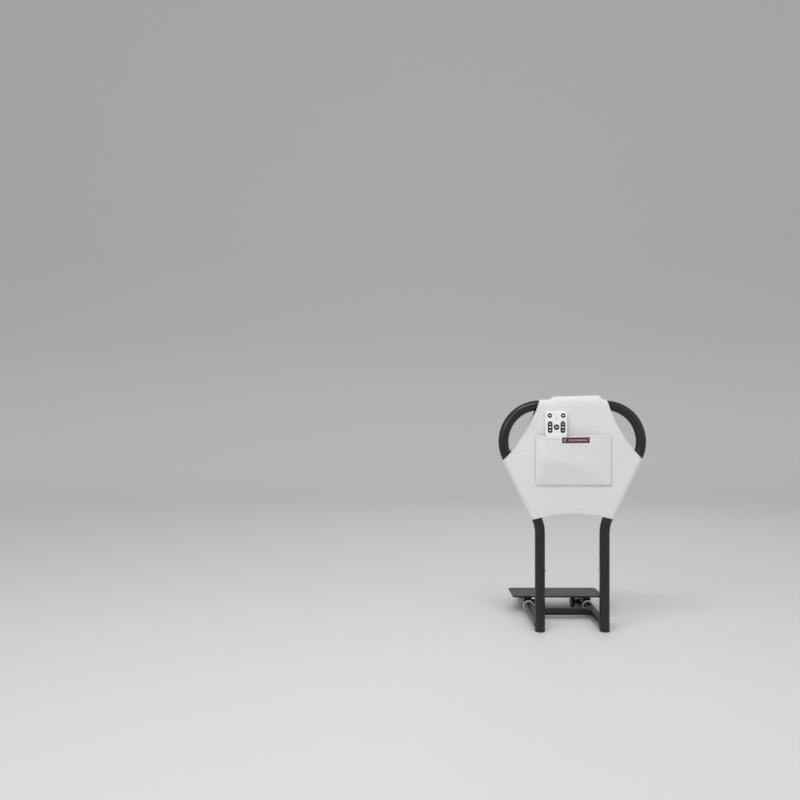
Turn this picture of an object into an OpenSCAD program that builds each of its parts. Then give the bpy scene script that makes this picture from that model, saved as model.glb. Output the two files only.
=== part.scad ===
// Bed assist rail: a bent-tube handle loop in a fabric storage cover, on two legs whose
// arms slide into receivers under the bed. Millimetres, +Z up, +Y into the bed.
// The origin is the centre of the bolt pattern, on the face that meets the bed.

/* [Rail tube] */
// Outside diameter of the handle, leg and arm tubes
tube_d = 31.75; // [30:0.05:33]
// Wall of the tubes
tube_wall = 1.8; // [1.6:0.05:2]
// Distance between the leg centres
leg_pitch = 203.2; // [195:0.1:215]
// Centreline radius of every bend
bend_r = 114.5; // [110:0.5:120]
// Height of the top of the handle tube above the mounting face
rail_top = 670.5; // [665:0.5:690]
// Height at which the legs start to splay
splay_z = 252; // [245:1:260]

/* [Legs and arms] */
// Distance from the leg centres back to the bolt pattern
reach = 275; // [270:1:300]
// Length of the arms, from the leg centres
arm_len = 400; // [395:1:440]
// Depth of the arm centres below the mounting face
arm_drop = 34; // [34:0.5:40]
// Depth of the feet below the arm centres
foot_drop = 21.8; // [20:0.1:40]
// Height of the seam between the leg tubes and the handle tube
seam_z = 226; // [220:1:235]
// Spacing of the height holes
height_pitch = 25; // [20:1:25]
// Number of height holes in each leg
height_holes = 4; // [2:1:4]

/* [Bed mount] */
// Width of the mounting plate
plate_w = 310; // [305:1:340]
// Depth of the mounting plate
plate_l = 120; // [115:1:140]
// Thickness of the mounting plate
plate_t = 5; // [4:0.5:6]
// Spacing of the bolt holes across the plate
bolts_x = 276; // [270:1:290]
// Spacing of the bolt holes along the plate
bolts_y = 84; // [80:1:90]
// Diameter of the bolt holes
bolt_hole_d = 8.5; // [6.5:0.5:9]

/* [Cover and pocket] */
// Radius of the hand cut-outs and of the bottom arch
cut_r = 430; // [400:5:500]
// Thickness of the cover cloth
cloth_t = 1.6; // [1:0.1:2]
// Width of the front pocket
pocket_w = 238; // [220:1:240]
// Height of the pocket's bottom seam
pocket_z = 403.5; // [400:0.5:410]
// Height of the pocket's mouth
mouth_z = 561; // [556:1:566]

/* [Handset] */
// Width of the handset
set_w = 66.5; // [65:0.5:69]
// Length of the handset
set_h = 148; // [145:1:152]
// Thickness of the handset
set_t = 15.5; // [15.5:0.5:16]
// Sideways place of the handset, from the middle of the rail
set_x = -56.4; // [-58:0.2:-54]
// Height of the handset's top edge
set_top = 636; // [634:0.5:641]

/* [Hidden] */
$fn = 96;
big = 1200;

// Tube path: a leg bend and a loop bend of one radius, joined by the splayed straight.
tube_r = tube_d / 2;
leg_x = leg_pitch / 2;
leg_y = -reach;
loop_z = rail_top - tube_r - bend_r;
loop_rise = loop_z - splay_z;
centre_gap = sqrt(bend_r * bend_r + loop_rise * loop_rise);
splay = asin(2 * bend_r / centre_gap) - atan(bend_r / loop_rise);
splay_len = sqrt(centre_gap * centre_gap - 4 * bend_r * bend_r);
bar_z = loop_z + bend_r;
arm_z = -arm_drop;
foot_z = arm_z - foot_drop;
ring_h = 1.2;
ring_out = 0.02;
ring_gap = 0.2;

// Fits and small hardware
slide_gap = 0.06;
running_gap = 0.1;
touch_gap = 0.1;
neck_d = tube_d - 2 * tube_wall - 2 * slide_gap;
neck_wall = 1.6;
neck_bottom = foot_z + 70;
button_z = foot_z + 190;
button_d = 8;
button_out = 3;
cap_t = 3;
plug_len = 15;
stop_d = 36;
cross_bar_d = 25.4;
cross_bar_y = leg_y + 150;
receiver_d = 38.1;
receiver_wall = 1.8;
bush_len = 25;
bush_lip = 2;
receiver_len = plate_l - 2 * bush_lip;
boss_d = 18;
boss_len = 9;
stud_d = 8;
knob_d = 40;
knob_t = 16;

// Cover: cloth pieces a little clear of the tube and of each other
wrap_r = tube_r + 0.8;
seam_gap = 0.15;
pad_r = 22.2;
pad_back = 6;
pad_up = 7;
pad_x = 9.5;
pad_len = 161;
pad_clear = 0.5;
wrap_end = 104.5;
cut_top = [105.5, rail_top];
cut_tip = [217.5, 484.5];
arch_z = 316.5;
gusset_half = wrap_r - seam_gap;
panel_y = leg_y - wrap_r - cloth_t;
back_y = leg_y + wrap_r + cloth_t;
strip_t = 1;
strip_w = 20;
side_strip_at = [148, 398];
top_strip_z = 584;
flap_t = 1.5;
flap_w = 54;
flap_y = back_y + 2 * strip_t + 0.4;

// Handset and pocket places
label_at = [3.8, mouth_z - 14.7];
label_w = 87.5;
label_h = 17.5;
label_t = 0.8;
set_back_y = panel_y - 1.2;
set_front_y = set_back_y - set_t;
set_z = set_top - set_h / 2;
shell_t = 2;
key_proud = 1;
key_len = 4.2;
key_gap = 0.3;
small_key_d = 13.8;
centre_key_d = 17;
rocker_w = 14.2;
rocker_h = 36;
small_key_at = [20.9, set_top - 13.2];
rocker_at = [19.8, set_top - 49.2];
pocket_front_y = set_front_y - 2.9;

tube_colour = "#2b2a29";
cloth_colour = "#d9d8d5";
plastic_colour = "#1c1c1c";
handset_colour = "#f1f2f3";

// ---- shapes that repeat ----

// Puts a shape on the left (-1) or right (1) leg line
module side(s) {
    translate([s * leg_x, 0, 0]) children();
}

// A rod of diameter d along Y, from y0 to y1
module rod_y(d, y0, y1) {
    translate([0, y0, 0]) rotate([-90, 0, 0]) cylinder(d = d, h = y1 - y0);
}

// A rod of diameter d along X, from x0 to x1
module rod_x(d, x0, x1) {
    translate([x0, 0, 0]) rotate([0, 90, 0]) cylinder(d = d, h = x1 - x0);
}

// An upright plate with round corners, centred on the Y axis, from y = 0 to y = t
module upright(w, h, t, r) {
    rotate([90, 0, 0]) mirror([0, 0, 1]) linear_extrude(t) rounded(w, h, r);
}

module rounded(w, h, r) {
    square([w - 2 * r, h], center = true);
    square([w, h - 2 * r], center = true);
    for (x = [-1, 1], y = [-1, 1])
        translate([x * (w / 2 - r), y * (h / 2 - r)]) circle(r);
}

// Right half of the handle's centreline swept at diameter d, from bottom_z to the middle
module half_handle(d, bottom_z) {
    translate([leg_x, leg_y, bottom_z]) cylinder(d = d, h = splay_z - bottom_z - ring_gap);
    translate([leg_x + bend_r, leg_y, splay_z]) {
        mirror([1, 0, 0]) bend(d, splay);
        rotate([0, splay, 0]) translate([-bend_r, 0, ring_gap])
            cylinder(d = d, h = splay_len - 2 * ring_gap);
    }
    translate([leg_x, leg_y, loop_z]) rotate([0, splay, 0]) bend(d, 90 + splay);
    translate([0, leg_y, bar_z]) rod_x(d, 0, leg_x - ring_gap);
}

// An upright bend of diameter d from the +X side, turning up and over towards -X. A
// shallow ring at each end takes in the end of the straight beside it.
module bend(d, turn) {
    rotate([90, 0, 0]) rotate_extrude(angle = turn) translate([bend_r, 0]) circle(d = d);
    for (a = [0, turn])
        rotate([0, -a, 0]) translate([bend_r, 0, -ring_h / 2])
            cylinder(d = d + 2 * ring_out, h = ring_h);
}

module whole_handle(d, bottom_z) {
    half_handle(d, bottom_z);
    mirror([1, 0, 0]) half_handle(d, bottom_z);
}

// ---- bed mount ----

module mount_plate() {
    color(tube_colour) difference() {
        translate([0, 0, -plate_t]) linear_extrude(plate_t) rounded(plate_w, plate_l, 12);
        for (x = [-1, 1], y = [-1, 1])
            translate([x * bolts_x / 2, y * bolts_y / 2, -plate_t - 1])
                cylinder(d = bolt_hole_d, h = plate_t + 2);
    }
}

module receiver(s) {
    color(tube_colour) side(s) translate([0, 0, arm_z]) difference() {
        rod_y(receiver_d, -receiver_len / 2, receiver_len / 2);
        rod_y(receiver_d - 2 * receiver_wall, -plate_l, plate_l);
        rod_x(stud_d + 0.4, s > 0 ? -receiver_d : 0, s > 0 ? 0 : receiver_d);
    }
}

// Two blocks that hang the receiver under the plate
module saddles(s) {
    block = [26, 14];
    color(tube_colour) side(s) difference() {
        for (y = [-1, 1])
            translate([-block.x / 2, y * plate_l * 0.3 - block.y / 2, arm_z])
                cube([block.x, block.y, -arm_z - plate_t]);
        translate([0, 0, arm_z]) rod_y(receiver_d, -plate_l, plate_l);
    }
}

// Nylon bush with a lip, in one end (-1 front, 1 rear) of a receiver
module bush(s, e) {
    bush_d = receiver_d - 2 * receiver_wall - 2 * touch_gap;
    inside = min(e * receiver_len / 2, e * (receiver_len / 2 - bush_len));
    lip = e > 0 ? receiver_len / 2 : -plate_l / 2;
    color("#d8d8d0") side(s) translate([0, 0, arm_z]) difference() {
        union() {
            rod_y(bush_d, inside, inside + bush_len);
            rod_y(receiver_d, lip, lip + bush_lip);
        }
        rod_y(tube_d + 2 * running_gap, -plate_l, plate_l);
    }
}

// Threaded boss on the inner side of a receiver
module lock_boss(s) {
    outer = receiver_d / 2 + boss_len;
    color(tube_colour) side(s) translate([0, 0, arm_z]) difference() {
        rod_x(boss_d, s > 0 ? -outer : 0, s > 0 ? 0 : outer);
        rod_y(receiver_d, -plate_l, plate_l);
        rod_x(stud_d + 0.1, -2 * outer, 2 * outer);
    }
}

// Stud and knob lie on the receiver's inner side, pointing to the middle of the rail.
stud_tip = tube_r + 0.2;
knob_face = receiver_d / 2 + boss_len + 2.5;

module toward_middle(s) {
    side(s) translate([0, 0, arm_z]) mirror([s > 0 ? 1 : 0, 0, 0]) children();
}

module lock_stud(s) {
    color("silver") toward_middle(s) rod_x(stud_d, stud_tip, knob_face + 10);
}

module lock_knob(s) {
    lobes = 6;
    lobe_cut_d = 16;
    hub_d = 20;
    hub_step = 4;
    color(plastic_colour) toward_middle(s) difference() {
        union() {
            rod_x(hub_d, knob_face, knob_face + knob_t);
            translate([knob_face + hub_step, 0, 0]) difference() {
                rod_x(knob_d, 0, knob_t - hub_step);
                for (i = [0 : lobes - 1])
                    rotate([i * 360 / lobes, 0, 0]) translate([0, 0, knob_d * 0.6])
                        rod_x(lobe_cut_d, -1, knob_t);
            }
        }
        rod_x(stud_d + 0.1, 0, knob_face + 10.1);
    }
}

// ---- legs and arms ----

module leg_tube(s) {
    color(tube_colour) side(s) translate([0, leg_y, 0]) difference() {
        translate([0, 0, foot_z + cap_t]) cylinder(d = tube_d, h = seam_z - foot_z - cap_t - 0.3);
        translate([0, 0, foot_z]) cylinder(d = tube_d - 2 * tube_wall, h = big);
        for (i = [0 : height_holes - 1])
            translate([0, 0, button_z + i * height_pitch])
                rod_x(button_d + 0.6, s > 0 ? -tube_d : 0, s > 0 ? 0 : tube_d);
    }
}

module leg_cap(s) {
    color(plastic_colour) side(s) translate([0, leg_y, foot_z]) {
        cylinder(d1 = tube_d - 2, d2 = tube_d, h = 1);
        translate([0, 0, 1]) cylinder(d = tube_d, h = cap_t - 1);
        translate([0, 0, cap_t])
            cylinder(d = tube_d - 2 * tube_wall - 2 * touch_gap, h = plug_len);
    }
}

module arm_tube(s) {
    color(tube_colour) side(s) difference() {
        translate([0, 0, arm_z]) difference() {
            rod_y(tube_d, leg_y, leg_y + arm_len);
            rod_y(tube_d - 2 * tube_wall, leg_y - 1, leg_y + arm_len + 1);
        }
        translate([0, leg_y, foot_z]) cylinder(d = tube_d, h = 2 * foot_drop);
    }
}

// Rear plug; its lip is wider than the bush, so the arms can't be pulled right out
module arm_cap(s) {
    color(plastic_colour) side(s) translate([0, leg_y + arm_len, arm_z]) {
        rod_y(stop_d, 0, 4);
        rod_y(tube_d - 2 * tube_wall - 2 * touch_gap, -plug_len, 0);
    }
}

module cross_bar() {
    color(tube_colour) difference() {
        translate([0, cross_bar_y, arm_z]) difference() {
            rod_x(cross_bar_d, -leg_x, leg_x);
            rod_x(cross_bar_d - 2 * tube_wall, -leg_x - 1, leg_x + 1);
        }
        for (s = [-1, 1])
            side(s) translate([0, 0, arm_z]) rod_y(tube_d, leg_y, leg_y + arm_len);
    }
}

// ---- handle ----

// One bent tube with necked ends that slide in the legs
module handle_loop() {
    color(tube_colour) difference() {
        union() {
            whole_handle(tube_d, seam_z);
            for (s = [-1, 1])
                side(s) translate([0, leg_y, neck_bottom])
                    cylinder(d = neck_d, h = seam_z - neck_bottom);
        }
        whole_handle(tube_d - 2 * tube_wall, seam_z + 8);
        for (s = [-1, 1]) side(s) translate([0, leg_y, 0]) {
            translate([0, 0, neck_bottom - 1])
                cylinder(d = neck_d - 2 * neck_wall, h = seam_z + 10 - neck_bottom);
            translate([0, 0, button_z])
                rod_x(button_d + 0.6, s > 0 ? -tube_d : 0, s > 0 ? 0 : tube_d);
        }
    }
}

spring_r = neck_d / 2 - neck_wall - 1.2;
spring_t = 0.8;

// Round-nosed pin that stands out of the leg's inner side
module snap_button(s) {
    out = tube_r + button_out;
    color("silver") side(s) translate([0, leg_y, button_z]) mirror([s > 0 ? 1 : 0, 0, 0]) {
        rod_x(button_d, spring_r + 0.3, out - 1.5);
        translate([out - 1.5, 0, 0]) rotate([0, 90, 0])
            cylinder(d1 = button_d, d2 = button_d - 3, h = 1.5);
    }
}

// U-shaped leaf spring inside the necked end
module button_spring(s) {
    leaf_w = 9;
    leaf_h = 36;
    color("silver") side(s) translate([0, leg_y, button_z - leaf_h + 6]) {
        for (x = [-spring_r, spring_r - spring_t])
            translate([x, -leaf_w / 2, 0]) cube([spring_t, leaf_w, leaf_h]);
        rotate([90, 0, 0]) translate([0, 0, -leaf_w / 2]) difference() {
            cylinder(r = spring_r, h = leaf_w);
            translate([0, 0, -1]) cylinder(r = spring_r - spring_t, h = leaf_w + 2);
            translate([-big / 2, 0, -1]) cube([big, big, leaf_w + 2]);
        }
    }
}

// ---- cover ----

// Centre of the circle of radius r through two points, on the side away from the middle
function cut_centre(a, b, r) =
    let (half = norm(b - a) / 2, along = (b - a) / (2 * half), away = [-along.y, along.x])
    (a + b) / 2 + away * sqrt(r * r - half * half);

hand_centre = cut_centre(cut_top, cut_tip, cut_r);
foot_of_splay = [leg_x + bend_r * (1 - cos(splay)), splay_z + bend_r * sin(splay)];
splay_dir = [sin(splay), cos(splay)];

// Rods along Y that cut the two hand holes and the arch below, moved inwards by inset
module hand_cut(s, inset) {
    translate([s * hand_centre.x, leg_y, hand_centre.y])
        rod_y(2 * (cut_r + inset), -60, 60);
}

module arch_cut(inset) {
    translate([0, leg_y, arch_z - cut_r]) rod_y(2 * (cut_r + inset), -60, 60);
}

// Flat cloth between the centrelines of the splayed tubes, from y to y + t
module panel(y, t) {
    low = foot_of_splay - 20 * splay_dir;
    high = foot_of_splay + (splay_len + 40) * splay_dir;
    difference() {
        translate([0, y + t, 0]) rotate([90, 0, 0]) linear_extrude(t)
            polygon([
                [-low.x, low.y], [low.x, low.y], high, [high.x, bar_z - seam_gap],
                [-high.x, bar_z - seam_gap], [-high.x, high.y]
            ]);
        hand_cut(1, 0);
        hand_cut(-1, 0);
        arch_cut(0);
    }
}

module cover_front() {
    color(cloth_colour) panel(panel_y, cloth_t);
}

module cover_back() {
    color(cloth_colour) panel(leg_y + wrap_r, cloth_t);
}

// Cloth round the outer half of a splayed tube
module cover_side(s) {
    low = foot_of_splay - 10 * splay_dir;
    color(cloth_colour) difference() {
        mirror([s > 0 ? 0 : 1, 0, 0]) translate([low.x, leg_y, low.y]) rotate([0, splay, 0])
            difference() {
                cylinder(r = wrap_r + cloth_t, h = splay_len + 30);
                translate([0, 0, -1]) cylinder(r = wrap_r, h = splay_len + 32);
                translate([-60 + seam_gap, -30, -1]) cube([60, 60, splay_len + 32]);
            }
        translate([0, leg_y - 30, foot_of_splay.y + splay_len * splay_dir.y - 2])
            translate([-big / 2, 0, 0]) cube([big, 60, 60]);
        hand_cut(s, 0);
        arch_cut(0);
    }
}

// Cloth over the handle bar and the pad on it
module cover_top() {
    pad_half = pad_len / 2;
    color(cloth_colour) translate([0, leg_y, bar_z]) difference() {
        union() {
            rod_x(2 * (wrap_r + cloth_t), -wrap_end, wrap_end);
            pad_rod(pad_r + 0.3 + cloth_t, 0.3 + cloth_t);
        }
        rod_x(2 * wrap_r, -wrap_end - 1, wrap_end + 1);
        pad_rod(pad_r + 0.3, 0.3);
        translate([-big / 2, -60, -60]) cube([big, 120, 60 + seam_gap]);
    }
}

module pad_rod(r, grow) {
    translate([pad_x, pad_back, pad_up])
        rod_x(2 * r, -pad_len / 2 - grow, pad_len / 2 + grow);
}

module top_pad() {
    color("#3a3a3a") translate([0, leg_y, bar_z]) difference() {
        pad_rod(pad_r, 0);
        rod_x(tube_d + 0.2, -big / 2, big / 2);
        translate([-big / 2, -60, -60]) cube([big, 120, 60 + pad_clear]);
    }
}

// Cloth strip that joins the front and back panels inside a hand hole
module cover_gusset(s) {
    low = cut_tip.y + 26;
    high = bar_z - tube_r - 12;
    color(cloth_colour) intersection() {
        difference() {
            translate([s * hand_centre.x, leg_y, hand_centre.y])
                rod_y(2 * (cut_r + cloth_t), -gusset_half, gusset_half);
            hand_cut(s, 0);
        }
        translate([s > 0 ? 0 : -leg_pitch * 2, leg_y - 60, low])
            cube([leg_pitch * 2, 120, high - low]);
    }
}

// Cloth strip that closes the arch between the legs
module cover_bottom() {
    half_w = leg_x - tube_r - 1;
    color(cloth_colour) difference() {
        translate([0, leg_y, arch_z - cut_r])
            rod_y(2 * (cut_r + cloth_t), -gusset_half, gusset_half);
        arch_cut(0);
        translate([-big / 2, leg_y - 60, -big]) cube([big, 120, big + arch_z - 60]);
        for (s = [-1, 1])
            translate([s > 0 ? half_w : -big - half_w, leg_y - 60, -big / 2])
                cube([big, 120, 2 * big]);
    }
}

// A strip on the back of the cover, w wide and h long, beside the splayed tube
module side_strip(s, w, h, y, t) {
    translate([s * side_strip_at.x, y, side_strip_at.y])
        rotate([0, s * splay, 0]) upright(w, h, t, 4);
}

// Flaps that close over the back panel
module cover_flap(s) {
    color(cloth_colour) side_strip(s, flap_w, 150, flap_y, flap_t);
}

module cover_flap_top() {
    color(cloth_colour) translate([0, flap_y, top_strip_z + 13]) upright(170, flap_w, flap_t, 6);
}

module strips(y) {
    for (s = [-1, 1]) side_strip(s, strip_w, 120, y, strip_t);
    translate([0, y, top_strip_z]) upright(140, strip_w, strip_t, 4);
}

module loop_strips() {
    color("#c9c8c5") strips(back_y + 0.1);
}

module hook_strips() {
    color("#b9b8b5") strips(back_y + 0.2 + strip_t);
}

module pocket() {
    wall = 1.5;
    h = mouth_z - pocket_z;
    depth = panel_y - 0.2 - pocket_front_y;
    color(cloth_colour) translate([0, pocket_front_y, pocket_z + h / 2]) difference() {
        upright(pocket_w, h, depth, 10);
        translate([0, wall, wall + 10]) upright(pocket_w - 2 * wall, h + 20, depth, 9);
    }
}

module pocket_hem() {
    above_label = label_at.y + label_h / 2 + 0.25;
    h = mouth_z - 0.5 - above_label;
    color(cloth_colour) translate([0, pocket_front_y - 0.7, above_label + h / 2])
        upright(pocket_w - 4, h, 0.6, 0.5);
}

module label() {
    color("#1f2d46") translate([label_at.x, pocket_front_y - label_t - 0.1, label_at.y])
        upright(label_w, label_h, label_t, 1);
}

// Stitched sleeve inside the pocket that carries the handset
module handset_sleeve() {
    wall = 1;
    low = set_top - set_h - 0.4 - wall;
    h = mouth_z - 5 - low;
    front = set_front_y - 0.4 - wall;
    depth = panel_y - 0.2 - front;
    color("#c4c3c0") translate([set_x, front, low + h / 2]) difference() {
        upright(set_w + 3 + 2 * wall, h, depth, 6);
        translate([0, wall, wall + 10]) upright(set_w + 3, h + 20, depth, 5);
    }
}

// ---- handset ----

module set_at(z) {
    translate([set_x, 0, z]) children();
}

// Key shapes, grown by gap, as solids that run along +Y from y = 0 for t
key_back = key_len - 0.5;

module small_key(gap, t) {
    rod_y(small_key_d + 2 * gap, 0, t);
}

module centre_key(gap, t) {
    rod_y(centre_key_d + 2 * gap, 0, t);
}

module rocker_key(gap, t) {
    for (z = [-1, 1])
        translate([0, 0, z * (rocker_h - rocker_w) / 2]) rod_y(rocker_w + 2 * gap, 0, t);
    translate([-rocker_w / 2 - gap, 0, -(rocker_h - rocker_w) / 2])
        cube([rocker_w + 2 * gap, t, rocker_h - rocker_w]);
}

module all_keys(gap, t) {
    for (s = [-1, 1]) {
        translate([s * small_key_at.x, 0, small_key_at.y]) small_key(gap, t);
        translate([s * rocker_at.x, 0, rocker_at.y]) rocker_key(gap, t);
    }
    translate([0, 0, rocker_at.y]) centre_key(gap, t);
}

lens_z = set_top - 22.6;
lens_w = 7;
lens_h = 3;
half_shell = set_t / 2;

module lens_rod(gap, t) {
    for (x = [-1, 1])
        translate([x * (lens_w - lens_h) / 2, 0, 0]) rod_y(lens_h + 2 * gap, 0, t);
    translate([-(lens_w - lens_h) / 2, 0, -lens_h / 2 - gap])
        cube([lens_w - lens_h, t, lens_h + 2 * gap]);
}

module handset_front() {
    color(handset_colour) difference() {
        translate([set_x, set_front_y, set_z]) difference() {
            upright(set_w, set_h, half_shell, 8);
            translate([0, shell_t, 0])
                upright(set_w - 2 * shell_t, set_h - 2 * shell_t, set_t, 6);
        }
        translate([set_x, set_front_y - 1, 0]) all_keys(key_gap, set_t);
        translate([set_x, set_front_y - 1, lens_z]) lens_rod(0.1, set_t);
    }
}

door = [34, 54];
door_z = set_top - set_h + 34;

module handset_back() {
    color(handset_colour) translate([set_x, set_back_y, set_z]) difference() {
        translate([0, -half_shell, 0]) upright(set_w, set_h, half_shell, 8);
        translate([0, -set_t - shell_t, 0])
            upright(set_w - 2 * shell_t, set_h - 2 * shell_t, set_t, 6);
        translate([0, -shell_t - 1, door_z - set_z]) upright(door.x, door.y, 9, 3);
    }
}

module battery_door() {
    color(handset_colour) translate([set_x, set_back_y - shell_t, door_z])
        upright(door.x - 0.4, door.y - 0.4, shell_t, 2.8);
}

module batteries() {
    cell_d = 10.5;
    cell_len = 43.7;
    nub_h = 0.8;
    color("#6d7d54") for (s = [-1, 1])
        translate([set_x + s * 6, set_back_y - 8.2, door_z - (cell_len + nub_h) / 2]) {
            cylinder(d = cell_d, h = cell_len);
            translate([0, 0, cell_len]) cylinder(d = 3.6, h = nub_h);
        }
}

board_y = set_front_y + 5.8;
board_h = 84;

module circuit_board() {
    color("#1f6b45") translate([set_x, board_y, set_top - 4 - board_h / 2])
        upright(set_w - 7, board_h, 1.6, 3);
}

module key_membrane() {
    color("#9a9a9a") difference() {
        translate([set_x, board_y - 1, set_top - 5 - 36]) upright(set_w - 9, 70, 0.9, 3);
        translate([set_x, board_y - 4, lens_z]) lens_rod(0.5, 8);
    }
}

module status_lens() {
    color("#e8a7a0") translate([set_x, set_front_y - 0.2, lens_z]) lens_rod(0, 5);
}

module key_top(s) {
    color(plastic_colour) set_at(small_key_at.y)
        translate([s * small_key_at.x, set_front_y - key_proud, 0]) small_key(0, key_back);
}

module rocker(s) {
    color(plastic_colour) set_at(rocker_at.y)
        translate([s * rocker_at.x, set_front_y - key_proud, 0]) rocker_key(0, key_back);
}

module key_centre() {
    color(plastic_colour) set_at(rocker_at.y)
        translate([0, set_front_y - key_proud, 0]) centre_key(0, key_back);
}

// ---- nodes ----

mount_plate();
receiver(-1);  // receiver_left
receiver(1);  // receiver_right
saddles(-1);  // saddles_left
saddles(1);  // saddles_right
bush(-1, -1);  // bush_left_front
bush(-1, 1);  // bush_left_rear
bush(1, -1);  // bush_right_front
bush(1, 1);  // bush_right_rear
lock_boss(-1);  // lock_boss_left
lock_boss(1);  // lock_boss_right
lock_stud(-1);  // lock_stud_left
lock_stud(1);  // lock_stud_right
lock_knob(-1);  // lock_knob_left
lock_knob(1);  // lock_knob_right
leg_tube(-1);  // leg_tube_left
leg_tube(1);  // leg_tube_right
leg_cap(-1);  // leg_cap_left
leg_cap(1);  // leg_cap_right
arm_tube(-1);  // arm_tube_left
arm_tube(1);  // arm_tube_right
arm_cap(-1);  // arm_cap_left
arm_cap(1);  // arm_cap_right
cross_bar();
handle_loop();
snap_button(-1);  // snap_button_left
snap_button(1);  // snap_button_right
button_spring(-1);  // button_spring_left
button_spring(1);  // button_spring_right
top_pad();
cover_front();
cover_back();
cover_top();
cover_side(-1);  // cover_side_left
cover_side(1);  // cover_side_right
cover_gusset(-1);  // cover_gusset_left
cover_gusset(1);  // cover_gusset_right
cover_bottom();
cover_flap(-1);  // cover_flap_left
cover_flap(1);  // cover_flap_right
cover_flap_top();
loop_strips();
hook_strips();
pocket();
pocket_hem();
label();
handset_sleeve();
handset_front();
handset_back();
battery_door();
batteries();
circuit_board();
key_membrane();
status_lens();
key_top(-1);  // key_top_left
key_top(1);  // key_top_right
rocker(-1);  // rocker_left
rocker(1);  // rocker_right
key_centre();
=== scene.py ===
"""Looks of the bed assist rail: a bent steel handle on two legs, in a sewn cloth cover with a
pocket for the bed's handset. Metres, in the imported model's frame: +Z up, +Y into the bed."""

import math

import bmesh
import bpy
import numpy as np
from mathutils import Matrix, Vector


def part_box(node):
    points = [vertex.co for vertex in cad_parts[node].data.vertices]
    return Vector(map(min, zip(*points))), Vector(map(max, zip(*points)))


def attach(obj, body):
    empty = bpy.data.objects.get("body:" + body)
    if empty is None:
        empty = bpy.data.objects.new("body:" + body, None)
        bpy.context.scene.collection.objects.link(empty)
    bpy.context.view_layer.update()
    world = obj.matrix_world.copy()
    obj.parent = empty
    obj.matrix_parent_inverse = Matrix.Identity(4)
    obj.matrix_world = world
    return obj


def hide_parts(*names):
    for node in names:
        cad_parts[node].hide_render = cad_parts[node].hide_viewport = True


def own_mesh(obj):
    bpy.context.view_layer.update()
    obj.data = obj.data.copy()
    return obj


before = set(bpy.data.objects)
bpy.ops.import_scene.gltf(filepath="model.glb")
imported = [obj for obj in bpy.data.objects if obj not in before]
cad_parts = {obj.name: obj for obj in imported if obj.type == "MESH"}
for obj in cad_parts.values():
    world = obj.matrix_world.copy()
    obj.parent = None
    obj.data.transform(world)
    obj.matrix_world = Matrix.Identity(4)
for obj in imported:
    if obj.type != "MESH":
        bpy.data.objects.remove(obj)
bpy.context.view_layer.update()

# ---------------------------------------------------------------- places and sizes


def middle(node):
    """Centre of a CAD node's box."""
    low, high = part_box(node)
    return (low + high) / 2


def face(node):
    """Centre in X and Z, width and height of a CAD node's box, seen from the front."""
    low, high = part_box(node)
    return ((low.x + high.x) / 2, (low.z + high.z) / 2), high.x - low.x, high.z - low.z


def smooth(x, low, high):
    """0 below low, 1 above high, and an even S curve between them."""
    t = np.clip((np.asarray(x, float) - low) / (high - low), 0, 1)
    return t * t * (3 - 2 * t)


SIDES = ((-1, "left"), (1, "right"))
LEG_LOW, LEG_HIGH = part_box("leg_tube_right")
TUBE_R = (LEG_HIGH.x - LEG_LOW.x) / 2
LEG_X, LEG_Y = middle("leg_tube_right").x, middle("leg_tube_right").y
RAIL_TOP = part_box("handle_loop")[1].z
BEND_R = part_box("handle_loop")[1].x - LEG_X - TUBE_R
ARM_Z = middle("arm_tube_right").z
FLOOR_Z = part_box("leg_cap_right")[0].z - 0.0005

# The handle's path, as in the CAD: leg bend, splayed straight, loop bend, top bar
SPLAY_Z = 0.252
LOOP_Z = RAIL_TOP - TUBE_R - BEND_R
BAR_Z = LOOP_Z + BEND_R
LOOP_RISE = LOOP_Z - SPLAY_Z
CENTRE_GAP = math.hypot(BEND_R, LOOP_RISE)
SPLAY = math.asin(2 * BEND_R / CENTRE_GAP) - math.atan(BEND_R / LOOP_RISE)
SPLAY_LEN = math.sqrt(CENTRE_GAP**2 - 4 * BEND_R**2)
SPLAY_FROM = BEND_R * SPLAY
AXIS_END = SPLAY_FROM + SPLAY_LEN + BEND_R * 0.6

# The cover's cut lines, as in the CAD
CLOTH_T = 0.0016
COVER_R = LEG_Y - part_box("cover_front")[0].y
CUT_R = 0.43
CUT_TOP = np.array([0.1055, RAIL_TOP])
CUT_TIP = np.array([0.2175, 0.4845])
ARCH_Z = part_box("cover_bottom")[1].z - CLOTH_T


def cut_centre():
    """Centre of the arc that cuts the right hand hole."""
    half = (CUT_TIP - CUT_TOP) / 2
    along = half / np.linalg.norm(half)
    return CUT_TOP + half + np.array([-along[1], along[0]]) * math.sqrt(CUT_R**2 - half @ half)


CUT_CENTRE = cut_centre()


def hole_x(z):
    """How far out the cover reaches beside the hand hole, at height z."""
    return CUT_CENTRE[0] - np.sqrt(np.maximum(CUT_R**2 - (CUT_CENTRE[1] - np.asarray(z)) ** 2, 0))


def arch_z(x):
    """Height of the cover's bottom edge at x."""
    return ARCH_Z - CUT_R + np.sqrt(CUT_R**2 - np.asarray(x, float) ** 2)


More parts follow.
